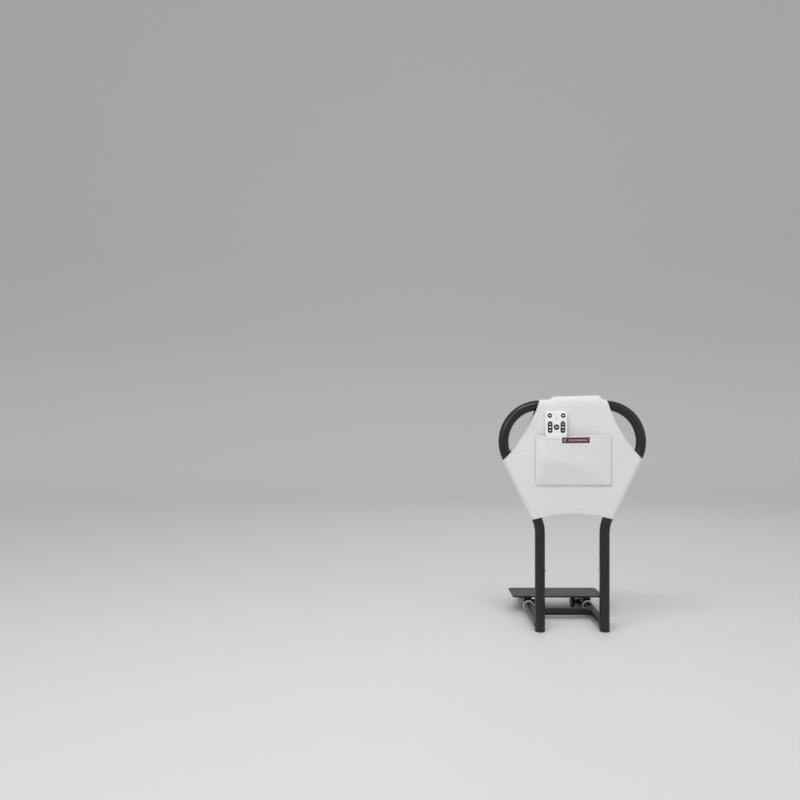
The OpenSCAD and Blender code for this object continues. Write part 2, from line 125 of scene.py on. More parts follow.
def tube_axis(s):
    """Point and outward direction, in X and Z, of the right tube s metres above its first bend."""
    turn = min(s / BEND_R, SPLAY)
    bend = np.array([LEG_X + BEND_R * (1 - math.cos(turn)), SPLAY_Z + BEND_R * math.sin(turn)])
    out = np.array([math.cos(turn), -math.sin(turn)])
    if s < SPLAY_FROM:
        return bend, out
    if s < SPLAY_FROM + SPLAY_LEN:
        return bend + np.array([math.sin(SPLAY), math.cos(SPLAY)]) * (s - SPLAY_FROM), out
    turn = (s - SPLAY_FROM - SPLAY_LEN) / BEND_R - SPLAY
    out = np.array([math.cos(turn), math.sin(turn)])
    return np.array([LEG_X, LOOP_Z]) + BEND_R * out, out


def solve(test, low, high):
    """Where test changes sign between low and high, by halving."""
    at_low = test(low) > 0
    for _ in range(50):
        mid = (low + high) / 2
        if (test(mid) > 0) == at_low:
            low = mid
        else:
            high = mid
    return (low + high) / 2


def wrap_point(s, q):
    """The point q outward of the tube's axis, in X and Z."""
    point, out = tube_axis(s)
    return point + q * out


def cuff_ends(q):
    """Where the cloth round the tube starts and ends, for a line q outward of its axis."""

    def over_arch(s):
        p = wrap_point(s, q)
        return p[1] - arch_z(p[0])

    def outside_cut(s):
        return np.linalg.norm(wrap_point(s, q) - CUT_CENTRE) - CUT_R

    between = 0.15  # along the axis, above the arch and below the hand hole
    return solve(over_arch, 0.0, between), solve(outside_cut, between, AXIS_END)


# ---------------------------------------------------------------- cloth surfaces


def waves(x, z, seed, count, longest, height):
    """Gentle, repeatable unevenness: a few sine waves in seeded directions."""
    rng = np.random.RandomState(seed)
    total = 0.0
    for k in range(count):
        length = longest * (0.6 + 0.4 * rng.rand()) / (1 + 0.45 * k)
        turn, phase = rng.rand(2) * 2 * math.pi
        across = x * math.cos(turn) + z * math.sin(turn)
        total = total + np.sin(2 * math.pi * across / length + phase) / (1 + k)
    return height * total


def pulls(x, z, spots, reach, count, height):
    """Tension folds that fan out from each of the spots and die away over reach."""
    total = 0.0
    for sx, sz, aim in spots:
        dx, dz = x - sx, z - sz
        far = np.hypot(dx, dz)
        turn = np.arctan2(dz, dx) - aim
        turn = (turn + math.pi) % (2 * math.pi) - math.pi
        fan = np.cos(count * turn) * np.exp(-((turn / 0.75) ** 2))
        total = total + height * fan * smooth(far, 0.004, 0.022) * np.exp(-far / reach)
    return total


# where the folds start, X and Z, and the direction they fan toward
TIP_SPOTS = [(s * 0.200, 0.500, math.pi / 2 + s * 1.75) for s in (-1, 1)]
FOOT_SPOTS = [(s * 0.104, 0.308, math.pi / 2 + s * 0.45) for s in (-1, 1)]
HEAD_SPOTS = [(s * 0.108, 0.650, -math.pi / 2 - s * 0.55) for s in (-1, 1)]
# spots, reach, number of folds, height
PULLS = (
    (TIP_SPOTS, 0.050, 9, 0.00085),
    (FOOT_SPOTS, 0.032, 8, 0.00065),
    (HEAD_SPOTS, 0.030, 8, 0.00050),
)
BACK_SLACK = 1.5  # the height of the back's folds, times that of the front's
# seed, number of waves, longest, height
FRONT_WAVES = ((3, 6, 0.26, 0.00045), (13, 5, 0.07, 0.00010))
BACK_WAVES = ((7, 6, 0.26, 0.00085), (17, 5, 0.07, 0.00022))

# where a turned hem's raw edge lies, from the cut
HEM_ENDS = (0.0185, 0.0200)
HOLE_HEM_ENDS = (0.0115, 0.0130)
HEM_STEP = 0.00055
HOLE_HEM_Z = (0.500, 0.515)  # the hand hole's hem begins here
AXIS_TABLE = np.array([tube_axis(s)[0] for s in np.linspace(0, AXIS_END, 160)])


def side_x(z):
    """Half the cover's width at height z: the tube's axis below, the hand hole above."""
    z = np.asarray(z, float)
    axis = np.interp(z, AXIS_TABLE[:, 1], AXIS_TABLE[:, 0])
    return np.minimum(axis, hole_x(np.minimum(z, RAIL_TOP + 0.02)))


def hem_step(x, z):
    """Extra height of the turned hem along the bottom and beside the hand holes."""
    above = z - arch_z(np.clip(x, -0.2, 0.2))
    beside = np.hypot(np.abs(x) - CUT_CENTRE[0], z - CUT_CENTRE[1]) - CUT_R
    bottom = 1 - smooth(above, *HEM_ENDS)
    hole = (1 - smooth(beside, *HOLE_HEM_ENDS)) * smooth(z, *HOLE_HEM_Z)
    return HEM_STEP * np.maximum(bottom, hole)


def relief(x, z, back):
    """How far the cloth of a panel stands out from its plane."""
    x, z = np.asarray(x, float), np.asarray(z, float)
    from_edge = side_x(z) - np.abs(x)
    uneven = sum(waves(x, z, *each) for each in (BACK_WAVES if back else FRONT_WAVES))
    fold = sum(pulls(x, z, *each) for each in PULLS) * (BACK_SLACK if back else 1.0)
    wide, narrow = 0.035, 0.012
    held_in = (fold + hem_step(x, z)) * smooth(from_edge, 0.0, narrow)
    return uneven * smooth(from_edge, 0.0, wide) + held_in


PAD_LOW, PAD_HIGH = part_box("top_pad")
PAD_R = (PAD_HIGH.y - PAD_LOW.y) / 2 + 0.0019  # to the cloth over it
PAD_BACK = (PAD_HIGH.y + PAD_LOW.y) / 2 - LEG_Y
PAD_UP = PAD_HIGH.z - BAR_Z - (PAD_HIGH.y - PAD_LOW.y) / 2
PAD_END = 0.006
BAR_TIGHT = 0.0009  # how far the cloth draws in over the bare bar
PAD_STEP_Z = 0.075  # the pad's step in the back has faded this far below the bar


def pad_share(x):
    """0 where the cloth lies on the bar, 1 where it lies on the pad."""
    left = smooth(x, PAD_LOW.x - PAD_END, PAD_LOW.x + 0.016)
    right = 1 - smooth(x, PAD_HIGH.x - 0.008, PAD_HIGH.x + 0.011)
    plateau = 0.70 + 0.32 * (np.asarray(x) - PAD_LOW.x) / (PAD_HIGH.x - PAD_LOW.x)
    return left * right * plateau


def pad_radius(turn):
    """From the bar's axis to the cloth over the pad; turn is 0 at the front, pi at the back."""
    along = -PAD_BACK * np.cos(turn) + PAD_UP * np.sin(turn)
    return along + np.sqrt(PAD_R**2 - PAD_BACK**2 - PAD_UP**2 + along**2)


def over_bar(x, turn):
    """Y and Z of the cloth over the bar at x, drawn in a little where it lies on the bar."""
    held = pad_share(x)
    extra = np.maximum(pad_radius(turn) - COVER_R, 0) * held
    tight = BAR_TIGHT * np.sin(turn) * (1 - np.clip(held, 0, 1))
    radius = COVER_R + extra - tight
    return LEG_Y - radius * np.cos(turn), BAR_Z + radius * np.sin(turn)


def beyond_axis(x, z):
    """How far (x, z) lies outward of the splayed tube's axis line."""
    start, out = tube_axis(SPLAY_FROM)
    return (np.abs(x) - start[0]) * out[0] + (z - start[1]) * out[1]


def front_y(x, z):
    """Y of the cover's front face."""
    return LEG_Y - COVER_R - relief(x, z, False)


def back_y(x, z):
    """Y of the cover's back face, which slopes in below the pad and rounds the tubes."""
    x, z = np.asarray(x, float), np.asarray(z, float)
    step = (pad_radius(math.pi) - COVER_R) * pad_share(x)
    slope = np.clip(1 - (BAR_Z - z) / PAD_STEP_Z, 0, 1) ** 2
    past = np.clip(beyond_axis(x, z), 0, COVER_R * 0.98)
    flat = np.where(z < 0.5, np.sqrt(COVER_R**2 - past**2), COVER_R)
    return LEG_Y + flat + relief(x, z, True) + step * slope


def make_object(name, points, faces, material, uvs=None):
    """A mesh object. faces index points, and uvs has one pair for each point."""
    mesh = bpy.data.meshes.new(name)
    mesh.from_pydata([tuple(p) for p in points], [], [tuple(f) for f in faces])
    if uvs is not None:
        layer = mesh.uv_layers.new(name="Weave")
        corner = np.zeros(len(mesh.loops), np.int32)
        mesh.loops.foreach_get("vertex_index", corner)
        layer.data.foreach_set("uv", np.asarray(uvs, np.float32)[corner].ravel())
    mesh.materials.append(material)
    mesh.polygons.foreach_set("use_smooth", [True] * len(mesh.polygons))
    mesh.update()
    obj = bpy.data.objects.new(name, mesh)
    bpy.context.scene.collection.objects.link(obj)
    return obj


def grid_faces(rows, columns, first=0, flip=False, ring=False):
    """Quads of a grid whose points run row by row; ring joins the last column to the first."""
    faces = []
    for j in range(rows - 1):
        row = first + j * columns
        for i in range(columns if ring else columns - 1):
            a, b = row + i, row + (i + 1) % columns
            quad = (a, b, b + columns, a + columns)
            faces.append(quad[::-1] if flip else quad)
    return faces


def ends(rows, columns, first=0):
    """The two caps of a closed grid."""
    last = first + (rows - 1) * columns
    return [tuple(range(first, first + columns))[::-1], tuple(range(last, last + columns))]


class Cloth:
    """Cloth made of grids that share their edges. Each point has its place on the flat cut."""

    def __init__(self):
        self.points, self.uvs, self.faces = [], [], []

    def add(self, points, uvs, flip=False):
        rows, columns = points.shape[:2]
        self.faces += grid_faces(rows, columns, len(self.points), flip)
        self.points += list(points.reshape(-1, 3))
        self.uvs += list(uvs.reshape(-1, 2))

    def area(self):
        """Flat area of the cut, in square metres."""
        uv = np.array(self.uvs)[np.array(self.faces)]
        u, v = uv[:, :, 0], uv[:, :, 1]
        cross = u * np.roll(v, -1, axis=1) - v * np.roll(u, -1, axis=1)
        return float(np.abs(cross.sum(axis=1) / 2).sum())

    def build(self, name, material, thickness):
        """The cloth with its thickness behind its face, and its shared edges welded."""
        obj = make_object(name, self.points, self.faces, material, self.uvs)
        work = bmesh.new()
        work.from_mesh(obj.data)
        bmesh.ops.remove_doubles(work, verts=work.verts, dist=2e-5)
        work.to_mesh(obj.data)
        work.free()
        solid = obj.modifiers.new("thickness", "SOLIDIFY")
        solid.thickness, solid.offset = thickness, -1
        return obj


def tube_mesh(name, path, radius, material, sides=8, closed=False, normals=None):
    """A tube along path; radius is one number or one for each point."""
    path = np.asarray(path, float)
    count = len(path)
    radius = np.broadcast_to(np.asarray(radius, float), (count,))
    ahead = np.roll(path, -1, axis=0) - np.roll(path, 1, axis=0)
    if not closed:
        ahead[0], ahead[-1] = path[1] - path[0], path[-1] - path[-2]
    ahead /= np.linalg.norm(ahead, axis=1)[:, None]
    if normals is None:
        guide = (0.0, 1.0, 0.0) if abs(ahead[:, 1]).max() < 0.9 else (0.3, 0.2, 0.9)
        normals = np.broadcast_to(np.array(guide), path.shape)
    across = np.cross(ahead, normals)
    across /= np.linalg.norm(across, axis=1)[:, None]
    up = np.cross(across, ahead)
    turn = np.linspace(0, 2 * math.pi, sides, endpoint=False)[None, :, None]
    ring = across[:, None] * np.cos(turn) + up[:, None] * np.sin(turn)
    points = (path[:, None] + ring * radius[:, None, None]).reshape(-1, 3)
    faces = grid_faces(count, sides, ring=True)
    if closed:
        last = (count - 1) * sides
        for i in range(sides):
            k = (i + 1) % sides
            faces.append((last + i, last + k, k, i))
    else:
        faces += ends(count, sides)
    return make_object(name, points, faces, material)


def resample(path, pitch):
    """Points pitch apart along a path, with their directions."""
    path = np.asarray(path, float)
    step = np.linalg.norm(np.diff(path[:, :3], axis=0), axis=1)
    length = np.concatenate([[0], np.cumsum(step)])

    def along(at, columns):
        return np.stack([np.interp(at, length, path[:, k]) for k in range(columns)], axis=1)

    at = np.arange(pitch / 2, length[-1], pitch)
    ahead = along(at + 1e-4, 3) - along(at - 1e-4, 3)
    size = np.maximum(np.linalg.norm(ahead, axis=1), 1e-12)[:, None]
    return along(at, path.shape[1]), ahead / size


def cloth_piece(name, rows, flat, material, thickness, node, flip=False):
    """A piece of cloth made of one grid, which stands for a CAD node."""
    cloth = Cloth()
    cloth.add(np.array(rows), np.array(flat), flip)
    piece = cloth.build(name, material, thickness)
    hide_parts(node)
    return piece


class Stitches:
    """Sewn lines, each stitch a small rounded length of thread that dips into the cloth."""

    # place along the stitch, lift and width of its rings, in lengths and radii
    RINGS = (
        (-0.5, -0.9, 0.5),
        (-0.34, 0.25, 0.95),
        (0.0, 0.5, 1.0),
        (0.34, 0.25, 0.95),
        (0.5, -0.9, 0.5),
    )
    RING_SIDES = 6

    def __init__(self, radius=0.00034, length=0.0027):
        self.radius, self.length = radius, length
        self.points, self.faces = [], []

    def line(self, path, normals, pitch=0.0034):
        """A row of stitches along path. normals has one row for each point, or one for all."""
        path = np.asarray(path, float)
        normals = np.broadcast_to(np.asarray(normals, float), path.shape)
        for place, along in zip(*resample(np.concatenate([path, normals], axis=1), pitch)):
            point, up = place[:3], place[3:] / np.linalg.norm(place[3:])
            across = np.cross(along, up)
            across /= np.linalg.norm(across)
            first = len(self.points)
            for share, lift, size in self.RINGS:
                centre = point + along * self.length * share + up * self.radius * lift
                for k in range(self.RING_SIDES):
                    turn = 2 * math.pi * k / self.RING_SIDES
                    spoke = across * math.cos(turn) + up * math.sin(turn)
                    self.points.append(centre + spoke * self.radius * size)
            grid = (len(self.RINGS), self.RING_SIDES, first)
            self.faces += grid_faces(*grid, ring=True) + ends(*grid)

    def build(self, name, material):
        return make_object(name, self.points, self.faces, material)


# ---------------------------------------------------------------- materials


class Paint:
    """Builds a material's node tree."""

    def __init__(self, name, colour, rough, **sockets):
        self.material = bpy.data.materials.new(name)
        self.material.use_nodes = True
        self.tree = self.material.node_tree
        self.shader = self.tree.nodes["Principled BSDF"]
        self.shader.inputs["Base Color"].default_value = (*colour, 1)
        self.shader.inputs["Roughness"].default_value = rough
        for socket, value in sockets.items():
            self.shader.inputs[socket.replace("_", " ")].default_value = value
        self.material.diffuse_color = (*colour, 1)

    def node(self, kind, links=None, **values):
        """A node; links maps its input names or numbers to outputs, and values sets properties."""
        made = self.tree.nodes.new(kind)
        for key, value in values.items():
            setattr(made, key, value)
        for key, value in (links or {}).items():
            if isinstance(value, bpy.types.NodeSocket):
                self.tree.links.new(value, made.inputs[key])
            else:
                made.inputs[key].default_value = value
        return made

    def place(self):
        """Position in the row frame."""
        return self.node("ShaderNodeTexCoord").outputs["Object"]

    def weave_place(self):
        """Position on the flat cut of the cloth, in metres."""
        return self.node("ShaderNodeUVMap", uv_map="Weave").outputs["UV"]

    def stretched(self, vector, scale):
        return self.node("ShaderNodeMapping", {"Vector": vector, "Scale": scale}).outputs["Vector"]

    def noise(self, vector, scale, detail=3.0, rough=0.55):
        made = self.node(
            "ShaderNodeTexNoise",
            {"Vector": vector, "Scale": scale, "Detail": detail, "Roughness": rough},
        )
        return made.outputs["Fac"]

    def math(self, how, a, b=0.0):
        return self.node("ShaderNodeMath", {0: a, 1: b}, operation=how).outputs[0]

    def axes(self, vector):
        """The three numbers of a vector."""
        return self.node("ShaderNodeSeparateXYZ", {0: vector}).outputs

    def cells(self, vector, scale):
        """Distance to the middle of the nearest of many small cells."""
        node = self.node("ShaderNodeTexVoronoi", {"Vector": vector, "Scale": scale})
        return node.outputs["Distance"]

    def between(self, value, low, high, out_low=0.0, out_high=1.0):
        """value mapped from low..high to out_low..out_high, and held at the ends."""
        made = self.node(
            "ShaderNodeMapRange",
            {"Value": value, "From Min": low, "From Max": high, "To Min": out_low, "To Max": out_high},
        )
        return made.outputs["Result"]

    def spread(self, noise, low=0.0, high=1.0):
        """Noise mapped to low..high over the values that it mostly takes."""
        return self.between(noise, 0.3, 0.7, low, high)

    def mix(self, share, a, b):
        """Colour a where share is 0 and b where it is 1."""
        made = self.node("ShaderNodeMix", data_type="RGBA")
        for socket, value in ((made.inputs[0], share), (made.inputs[6], a), (made.inputs[7], b)):
            if isinstance(value, bpy.types.NodeSocket):
                self.tree.links.new(value, socket)
            elif isinstance(value, (int, float)):
                socket.default_value = value
            else:
                socket.default_value = (*value, 1)
        return made.outputs[2]

    def set(self, socket, value):
        self.tree.links.new(value, self.shader.inputs[socket])

    def bump(self, *layers):
        """Bump from (height, strength, distance) layers, one on top of another."""
        normal = None
        for height, strength, distance in layers:
            links = {"Height": height, "Strength": strength, "Distance": distance}
            if normal is not None:
                links["Normal"] = normal
            normal = self.node("ShaderNodeBump", links).outputs["Normal"]
        self.set("Normal", normal)
        return self.material


def woven(name, colour, shade, pitch, rough, sheen, depth):
    """Plain-woven cloth: warp and weft threads, slubs, faint unevenness in the dye, and painted shade
    where the threads dip between each other.
    """
    p = Paint(name, colour, rough, Sheen_Weight=sheen, Sheen_Roughness=0.5, Specular_IOR_Level=0.25)
    flat = p.weave_place()
    wander = p.noise(flat, 90.0, 2.0)
    offset = p.math("MULTIPLY", p.math("SUBTRACT", wander, 0.5), 0.5)
    warp, weft = (
        p.math("SINE", p.math("ADD", axis, offset))
        for axis in p.axes(p.stretched(flat, (math.pi / pitch,) * 3))[:2]
    )
    over = p.math("GREATER_THAN", p.math("MULTIPLY", warp, weft), 0.0)
    warp_high, weft_high = p.math("ABSOLUTE", warp), p.math("ABSOLUTE", weft)
    height = p.node("ShaderNodeMix", {0: over, 2: weft_high, 3: warp_high}).outputs[0]
    slub_u = p.noise(p.stretched(flat, (1 / pitch, 40, 1)), 1.0, 2.0)
    slub_v = p.noise(p.stretched(flat, (40, 1 / pitch, 1)), 1.0, 2.0)
    slub = p.node("ShaderNodeMix", {0: over, 2: slub_v, 3: slub_u}).outputs[0]
    cloud = p.noise(p.place(), 7.0, 4.0)
    # the tone darkens toward shade where each thread dips under the next, as painted shade in the weave's
    # gaps; slub and cloud are the yarn's and dye's own unevenness
    tone = p.math("ADD", p.math("MULTIPLY", slub, 0.35), p.math("MULTIPLY", height, 0.35))
    tone = p.math("ADD", tone, p.math("MULTIPLY", cloud, 0.45))
    p.set("Base Color", p.mix(p.between(tone, 0.25, 0.95), shade, colour))
    p.set("Roughness", p.spread(slub, rough - 0.05, min(rough + 0.05, 1.0)))
    lumps = p.noise(flat, 160.0, 3.0)
    return p.bump((lumps, 0.25, 0.0004), (height, depth, 0.00016), (slub, 0.25, 0.0001))


def powder_coat():
    """Satin black powder coat: orange peel, fine sparkle of dust, and faint rubs."""
    p = Paint("black_steel", (0.013, 0.0125, 0.012), 0.24, Specular_IOR_Level=0.36)
    at = p.place()
    peel = p.noise(at, 520.0, 2.0)
    pits = p.noise(at, 2600.0, 2.0)
    cloud = p.noise(at, 9.0, 5.0)
    rub = p.noise(p.stretched(at, (60, 60, 9)), 1.0, 6.0, 0.7)
    worn = p.between(rub, 0.60, 0.74)
    dust = p.between(cloud, 0.35, 0.75)
    clean = p.mix(dust, (0.011, 0.0106, 0.0102), (0.016, 0.0155, 0.015))
    p.set("Base Color", p.mix(p.math("MULTIPLY", worn, 0.35), clean, (0.036, 0.035, 0.034)))
    p.set("Roughness", p.math("ADD", p.spread(cloud, 0.20, 0.27), p.math("MULTIPLY", worn, 0.09)))
    return p.bump((peel, 0.16, 0.0005), (pits, 0.10, 0.0002))


def metal(name, colour, rough, grain):
    """Plated metal with a drawn grain and dull spots."""
    p = Paint(name, colour, rough, Metallic=1.0)
    at = p.place()
    lines = p.noise(p.stretched(at, grain), 1.0, 4.0)
    spots = p.noise(at, 140.0, 4.0)
    dull = tuple(c * 0.72 for c in colour)
    p.set("Base Color", p.mix(p.between(spots, 0.35, 0.7), dull, colour))
    drawn = p.spread(lines, rough - 0.07, rough + 0.08)
    p.set("Roughness", p.math("ADD", drawn, p.between(spots, 0.55, 0.7, 0.0, 0.15)))
    return p.bump((lines, 0.12, 0.0002))


def moulded(name, colour, rough, grain, depth, shift=0.12, **sockets):
    """Moulded plastic or rubber: eroded grain, slight shade and gloss changes, fine scuffs."""
    p = Paint(name, colour, rough, **sockets)
    at = p.place()
    fine = p.noise(at, grain, 2.0)
    cloud = p.noise(at, 24.0, 4.0)
    scuff = p.between(p.noise(p.stretched(at, (220, 60, 30)), 1.0, 6.0, 0.75), 0.62, 0.72)
    darker = tuple(c * (1 - shift) for c in colour)
    lighter = tuple(min(c * (1 + shift) + 0.004, 1) for c in colour)
    p.set("Base Color", p.mix(p.spread(cloud), darker, lighter))
    gloss = p.spread(cloud, rough - 0.04, rough + 0.04)
    p.set("Roughness", p.math("ADD", gloss, p.math("MULTIPLY", scuff, 0.08)))
    return p.bump((fine, depth, 0.0002), (cloud, 0.04, 0.001))


def foam():
    """Closed-cell foam: small cells with darker walls."""
    p = Paint("pad_foam", (0.05, 0.05, 0.052), 0.9)
    cells = p.cells(p.place(), 700.0)
    cloud = p.noise(p.place(), 40.0, 3.0)
    shade = p.mix(p.between(cells, 0.1, 0.6), (0.07, 0.07, 0.072), (0.025, 0.025, 0.026))
    p.set("Base Color", shade)
    p.set("Roughness", p.spread(cloud, 0.85, 0.97))
    return p.bump((cells, 0.6, 0.0008))


def tape(name, colour, scale, depth):
    """Hook or loop tape: a dense pile in rows."""
    p = Paint(name, colour, 0.9, Sheen_Weight=0.3)
    at = p.place()
    pile = p.cells(p.stretched(at, (scale, scale, scale * 0.7)), 1.0)
    fuzz = p.noise(at, scale * 2.2, 4.0)
    light, dark = (tuple(c * k for c in colour) for k in (1.15, 0.6))
    p.set("Base Color", p.mix(p.between(pile, 0.1, 0.8), light, dark))
    p.set("Roughness", p.spread(fuzz, 0.82, 0.98))
    return p.bump((pile, depth, 0.0008), (fuzz, 0.5, 0.0005))


def circuit():
    """Solder mask with copper tracks under it and small pads."""
    mask, over_copper, pad = (0.010, 0.075, 0.035), (0.022, 0.16, 0.075), (0.55, 0.50, 0.38)
    p = Paint("board", mask, 0.35)
    at = p.place()
    upright = p.node("ShaderNodeMapping", {"Vector": at, "Rotation": (math.pi / 2, 0, 0)}).outputs[0]
    bricks = p.node("ShaderNodeTexBrick", {"Vector": upright, "Scale": 260.0, "Mortar Size": 0.03})
    tracks, pads = bricks.outputs["Fac"], p.cells(at, 190.0)
    p.set("Base Color", p.mix(p.between(pads, 0.16, 0.13), p.mix(tracks, mask, over_copper), pad))
    p.set("Roughness", p.spread(p.noise(at, 400.0), 0.28, 0.42))
    return p.bump((tracks, 0.3, 0.0001))


def cell_sleeve(low, high):
    """Battery: printed sleeve, with bare metal at its two ends."""
    p = Paint("cell", (0.10, 0.17, 0.06), 0.35)
    at = p.place()
    share = p.math("DIVIDE", p.math("SUBTRACT", p.axes(at)[2], low), high - low)
    foot, band_from, head = 0.05, 0.62, 0.955
    tips = p.math("MAXIMUM", p.math("LESS_THAN", share, foot), p.math("GREATER_THAN", share, head))
    band = p.math("MULTIPLY", p.math("GREATER_THAN", share, band_from), p.math("LESS_THAN", share, head))
    sleeve = p.mix(band, (0.035, 0.037, 0.04), (0.14, 0.24, 0.08))
    p.set("Base Color", p.mix(tips, sleeve, (0.62, 0.62, 0.60)))
    p.set("Metallic", tips)
    p.set("Roughness", p.spread(p.noise(at, 300.0), 0.28, 0.40))
    return p.bump((p.noise(at, 900.0), 0.08, 0.0001))


def sewn_label(name, colour, shade):
    """Damask label: fine satin ribs, with painted shade in the hollows between ribs and floats."""
    p = Paint(name, colour, 0.62, Sheen_Weight=0.25)
    flat = p.weave_place()
    rib_pitch, float_pitch = 0.00045, 0.0009
    rib, across, _ = p.axes(p.stretched(flat, (math.pi / rib_pitch, math.pi / float_pitch, 1)))
    ribs = p.math("ABSOLUTE", p.math("SINE", rib))
    lean = p.math("ADD", across, p.math("MULTIPLY", rib, 0.5))
    floats = p.math("ABSOLUTE", p.math("SINE", lean))
    height = p.math("MULTIPLY", ribs, p.between(floats, 0.0, 1.0, 0.5, 1.0))
    cloud = p.noise(flat, 120.0, 4.0)
    # light is brighter on the ribs' crowns and floats and darker in their hollows, as painted shade; the
    # cloud adds uneven tone
    light = p.between(p.math("ADD", height, p.math("MULTIPLY", cloud, 0.6)), 0.3, 1.4)
    p.set("Base Color", p.mix(light, shade, colour))
    p.set("Roughness", p.between(height, 0.0, 1.0, 0.72, 0.55))
    return p.bump((height, 0.5, 0.00012), (cloud, 0.2, 0.0003))


# each woven cloth's second colour is its darker dye tone and also the painted shade between threads
CLOTH = woven("cover_cloth", (0.772, 0.766, 0.751), (0.655, 0.65, 0.635), 0.0011, 0.9, 0.12, 0.55)
INNER_CLOTH = woven("inner_cloth", (0.60, 0.595, 0.58), (0.50, 0.495, 0.48), 0.0009, 0.9, 0.1, 0.5)
THREAD = moulded("sewing_thread", (0.70, 0.695, 0.68), 0.7, 1800.0, 0.4)
STEEL = powder_coat()
ZINC = metal("bright_steel", (0.60, 0.60, 0.61), 0.30, (900, 900, 60))
WELD = moulded("weld_coat", (0.021, 0.020, 0.0195), 0.34, 700.0, 0.3)
NYLON = moulded("nylon", (0.70, 0.69, 0.64), 0.5, 1200.0, 0.15, 0.05)
BLACK = moulded("black_plastic", (0.017, 0.017, 0.017), 0.48, 1500.0, 0.35)
WHITE = moulded("white_plastic", (0.83, 0.828, 0.825), 0.34, 1600.0, 0.10, 0.015, Coat_Weight=0.08)
KEY = moulded("key_black", (0.013, 0.013, 0.0135), 0.5, 1900.0, 0.25)
PRINT = moulded("key_print", (0.78, 0.78, 0.77), 0.55, 2400.0, 0.2, 0.03)
MEMBRANE = moulded("membrane", (0.33, 0.33, 0.33), 0.6, 900.0, 0.2)
LENS = moulded("lens", (0.86, 0.60, 0.58), 0.18, 800.0, 0.05, 0.06, Coat_Weight=0.5)
FOAM = foam()
LOOP_TAPE = tape("tape_loop", (0.62, 0.61, 0.59), 1100.0, 0.6)
HOOK_TAPE = tape("tape_hook", (0.56, 0.55, 0.53), 800.0, 0.9)
BOARD = circuit()
CELL = cell_sleeve(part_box("batteries")[0].z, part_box("batteries")[1].z)
# each label colour's second value is its darker tone and also the painted shade in the ribs' hollows
NAVY = sewn_label("label_cloth", (0.022, 0.036, 0.072), (0.010, 0.018, 0.040))
ORANGE = sewn_label("label_thread", (0.80, 0.19, 0.115), (0.55, 0.11, 0.07))
NAVY_THREAD = moulded("label_seam_thread", (0.030, 0.045, 0.085), 0.7, 1800.0, 0.4)


def dress(piece, body, slot, *nodes):
    """The piece stands for the CAD nodes, which are hidden, and rides on body; slot is not used."""
    if nodes:
        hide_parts(*nodes)
    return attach(piece, body)


# ---------------------------------------------------------------- cover


WRAP_ROWS, HOLE_ROWS, BAR_ROWS, COLUMNS = 52, 44, 29, 89
WRAP_TURNS = 21
STRIP_T = 0.0011
STRIP_IN = 0.0012  # how far a strip's edge lies behind the panel's face


def panel_sides():
    """Points up the right edge of a panel, beside the tube and then the hand hole."""
    side = [tube_axis(s)[0] for s in np.linspace(*cuff_ends(0.0), WRAP_ROWS)]
    heights = np.linspace(side[-1][1], BAR_Z, HOLE_ROWS)[1:]
    return side + [np.array([hole_x(z), z]) for z in heights]


def cover_shell():
    """Front, top and back in one length of cloth, its sides wrapped round the splayed tubes."""
    side = panel_sides()
    across = np.linspace(-1, 1, COLUMNS)
    # ease the columns toward the edges, where the cloth folds most
    across = np.sign(across) * (1 - (1 - np.abs(across)) ** 1.25)
    arch_fades = 0.11

    def panel_rows(surface, path_length):
        rows, flat = [], []
        for x_side, z_side in side:
            x = across * x_side
            t = np.clip((z_side - side[0][1]) / arch_fades, 0, 1)
            z = z_side + (arch_z(x) - arch_z(x_side)) * (1 - t) ** 2
            rows.append(np.stack([x, surface(x, z), z], axis=1))
            flat.append(np.stack([x, path_length(z)], axis=1))
        return np.array(rows), np.array(flat)

    over = math.pi * COVER_R
    front, front_uv = panel_rows(front_y, lambda z: z)
    back, back_uv = panel_rows(back_y, lambda z: 2 * BAR_Z + over - z)
    bar, bar_uv = [], []
    for turn in np.linspace(0, math.pi, BAR_ROWS)[1:-1]:
        x = across * float(hole_x(BAR_Z + COVER_R * math.sin(turn)))
        y, z = over_bar(x, turn)
        # meet the panels' own relief at the front and at the back
        panel, flat_turn = (front_y, 0.0) if math.cos(turn) > 0 else (back_y, math.pi)
        differs = panel(x, np.full_like(x, BAR_Z)) - over_bar(x, flat_turn)[0]
        bar.append(np.stack([x, y + differs * abs(math.cos(turn)), z], axis=1))
        bar_uv.append(np.stack([x, np.full_like(x, BAR_Z + COVER_R * turn)], axis=1))
    cloth = Cloth()
    cloth.add(
        np.concatenate([front, np.array(bar), back[::-1]]),
        np.concatenate([front_uv, np.array(bar_uv), back_uv[::-1]]),
    )
    for s in (-1, 1):
        edge = -1 if s > 0 else 0
        points, flat = cuff(s)
        points[:, 0], points[:, -1] = front[:WRAP_ROWS, edge], back[:WRAP_ROWS, edge]
        cloth.add(points, flat, flip=s < 0)
    shell = cloth.build("cover_shell", CLOTH, CLOTH_T * 0.8)
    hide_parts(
        "cover_front", "cover_back", "cover_top", "cover_side_left", "cover_side_right"
    )
    return shell, cloth.area()


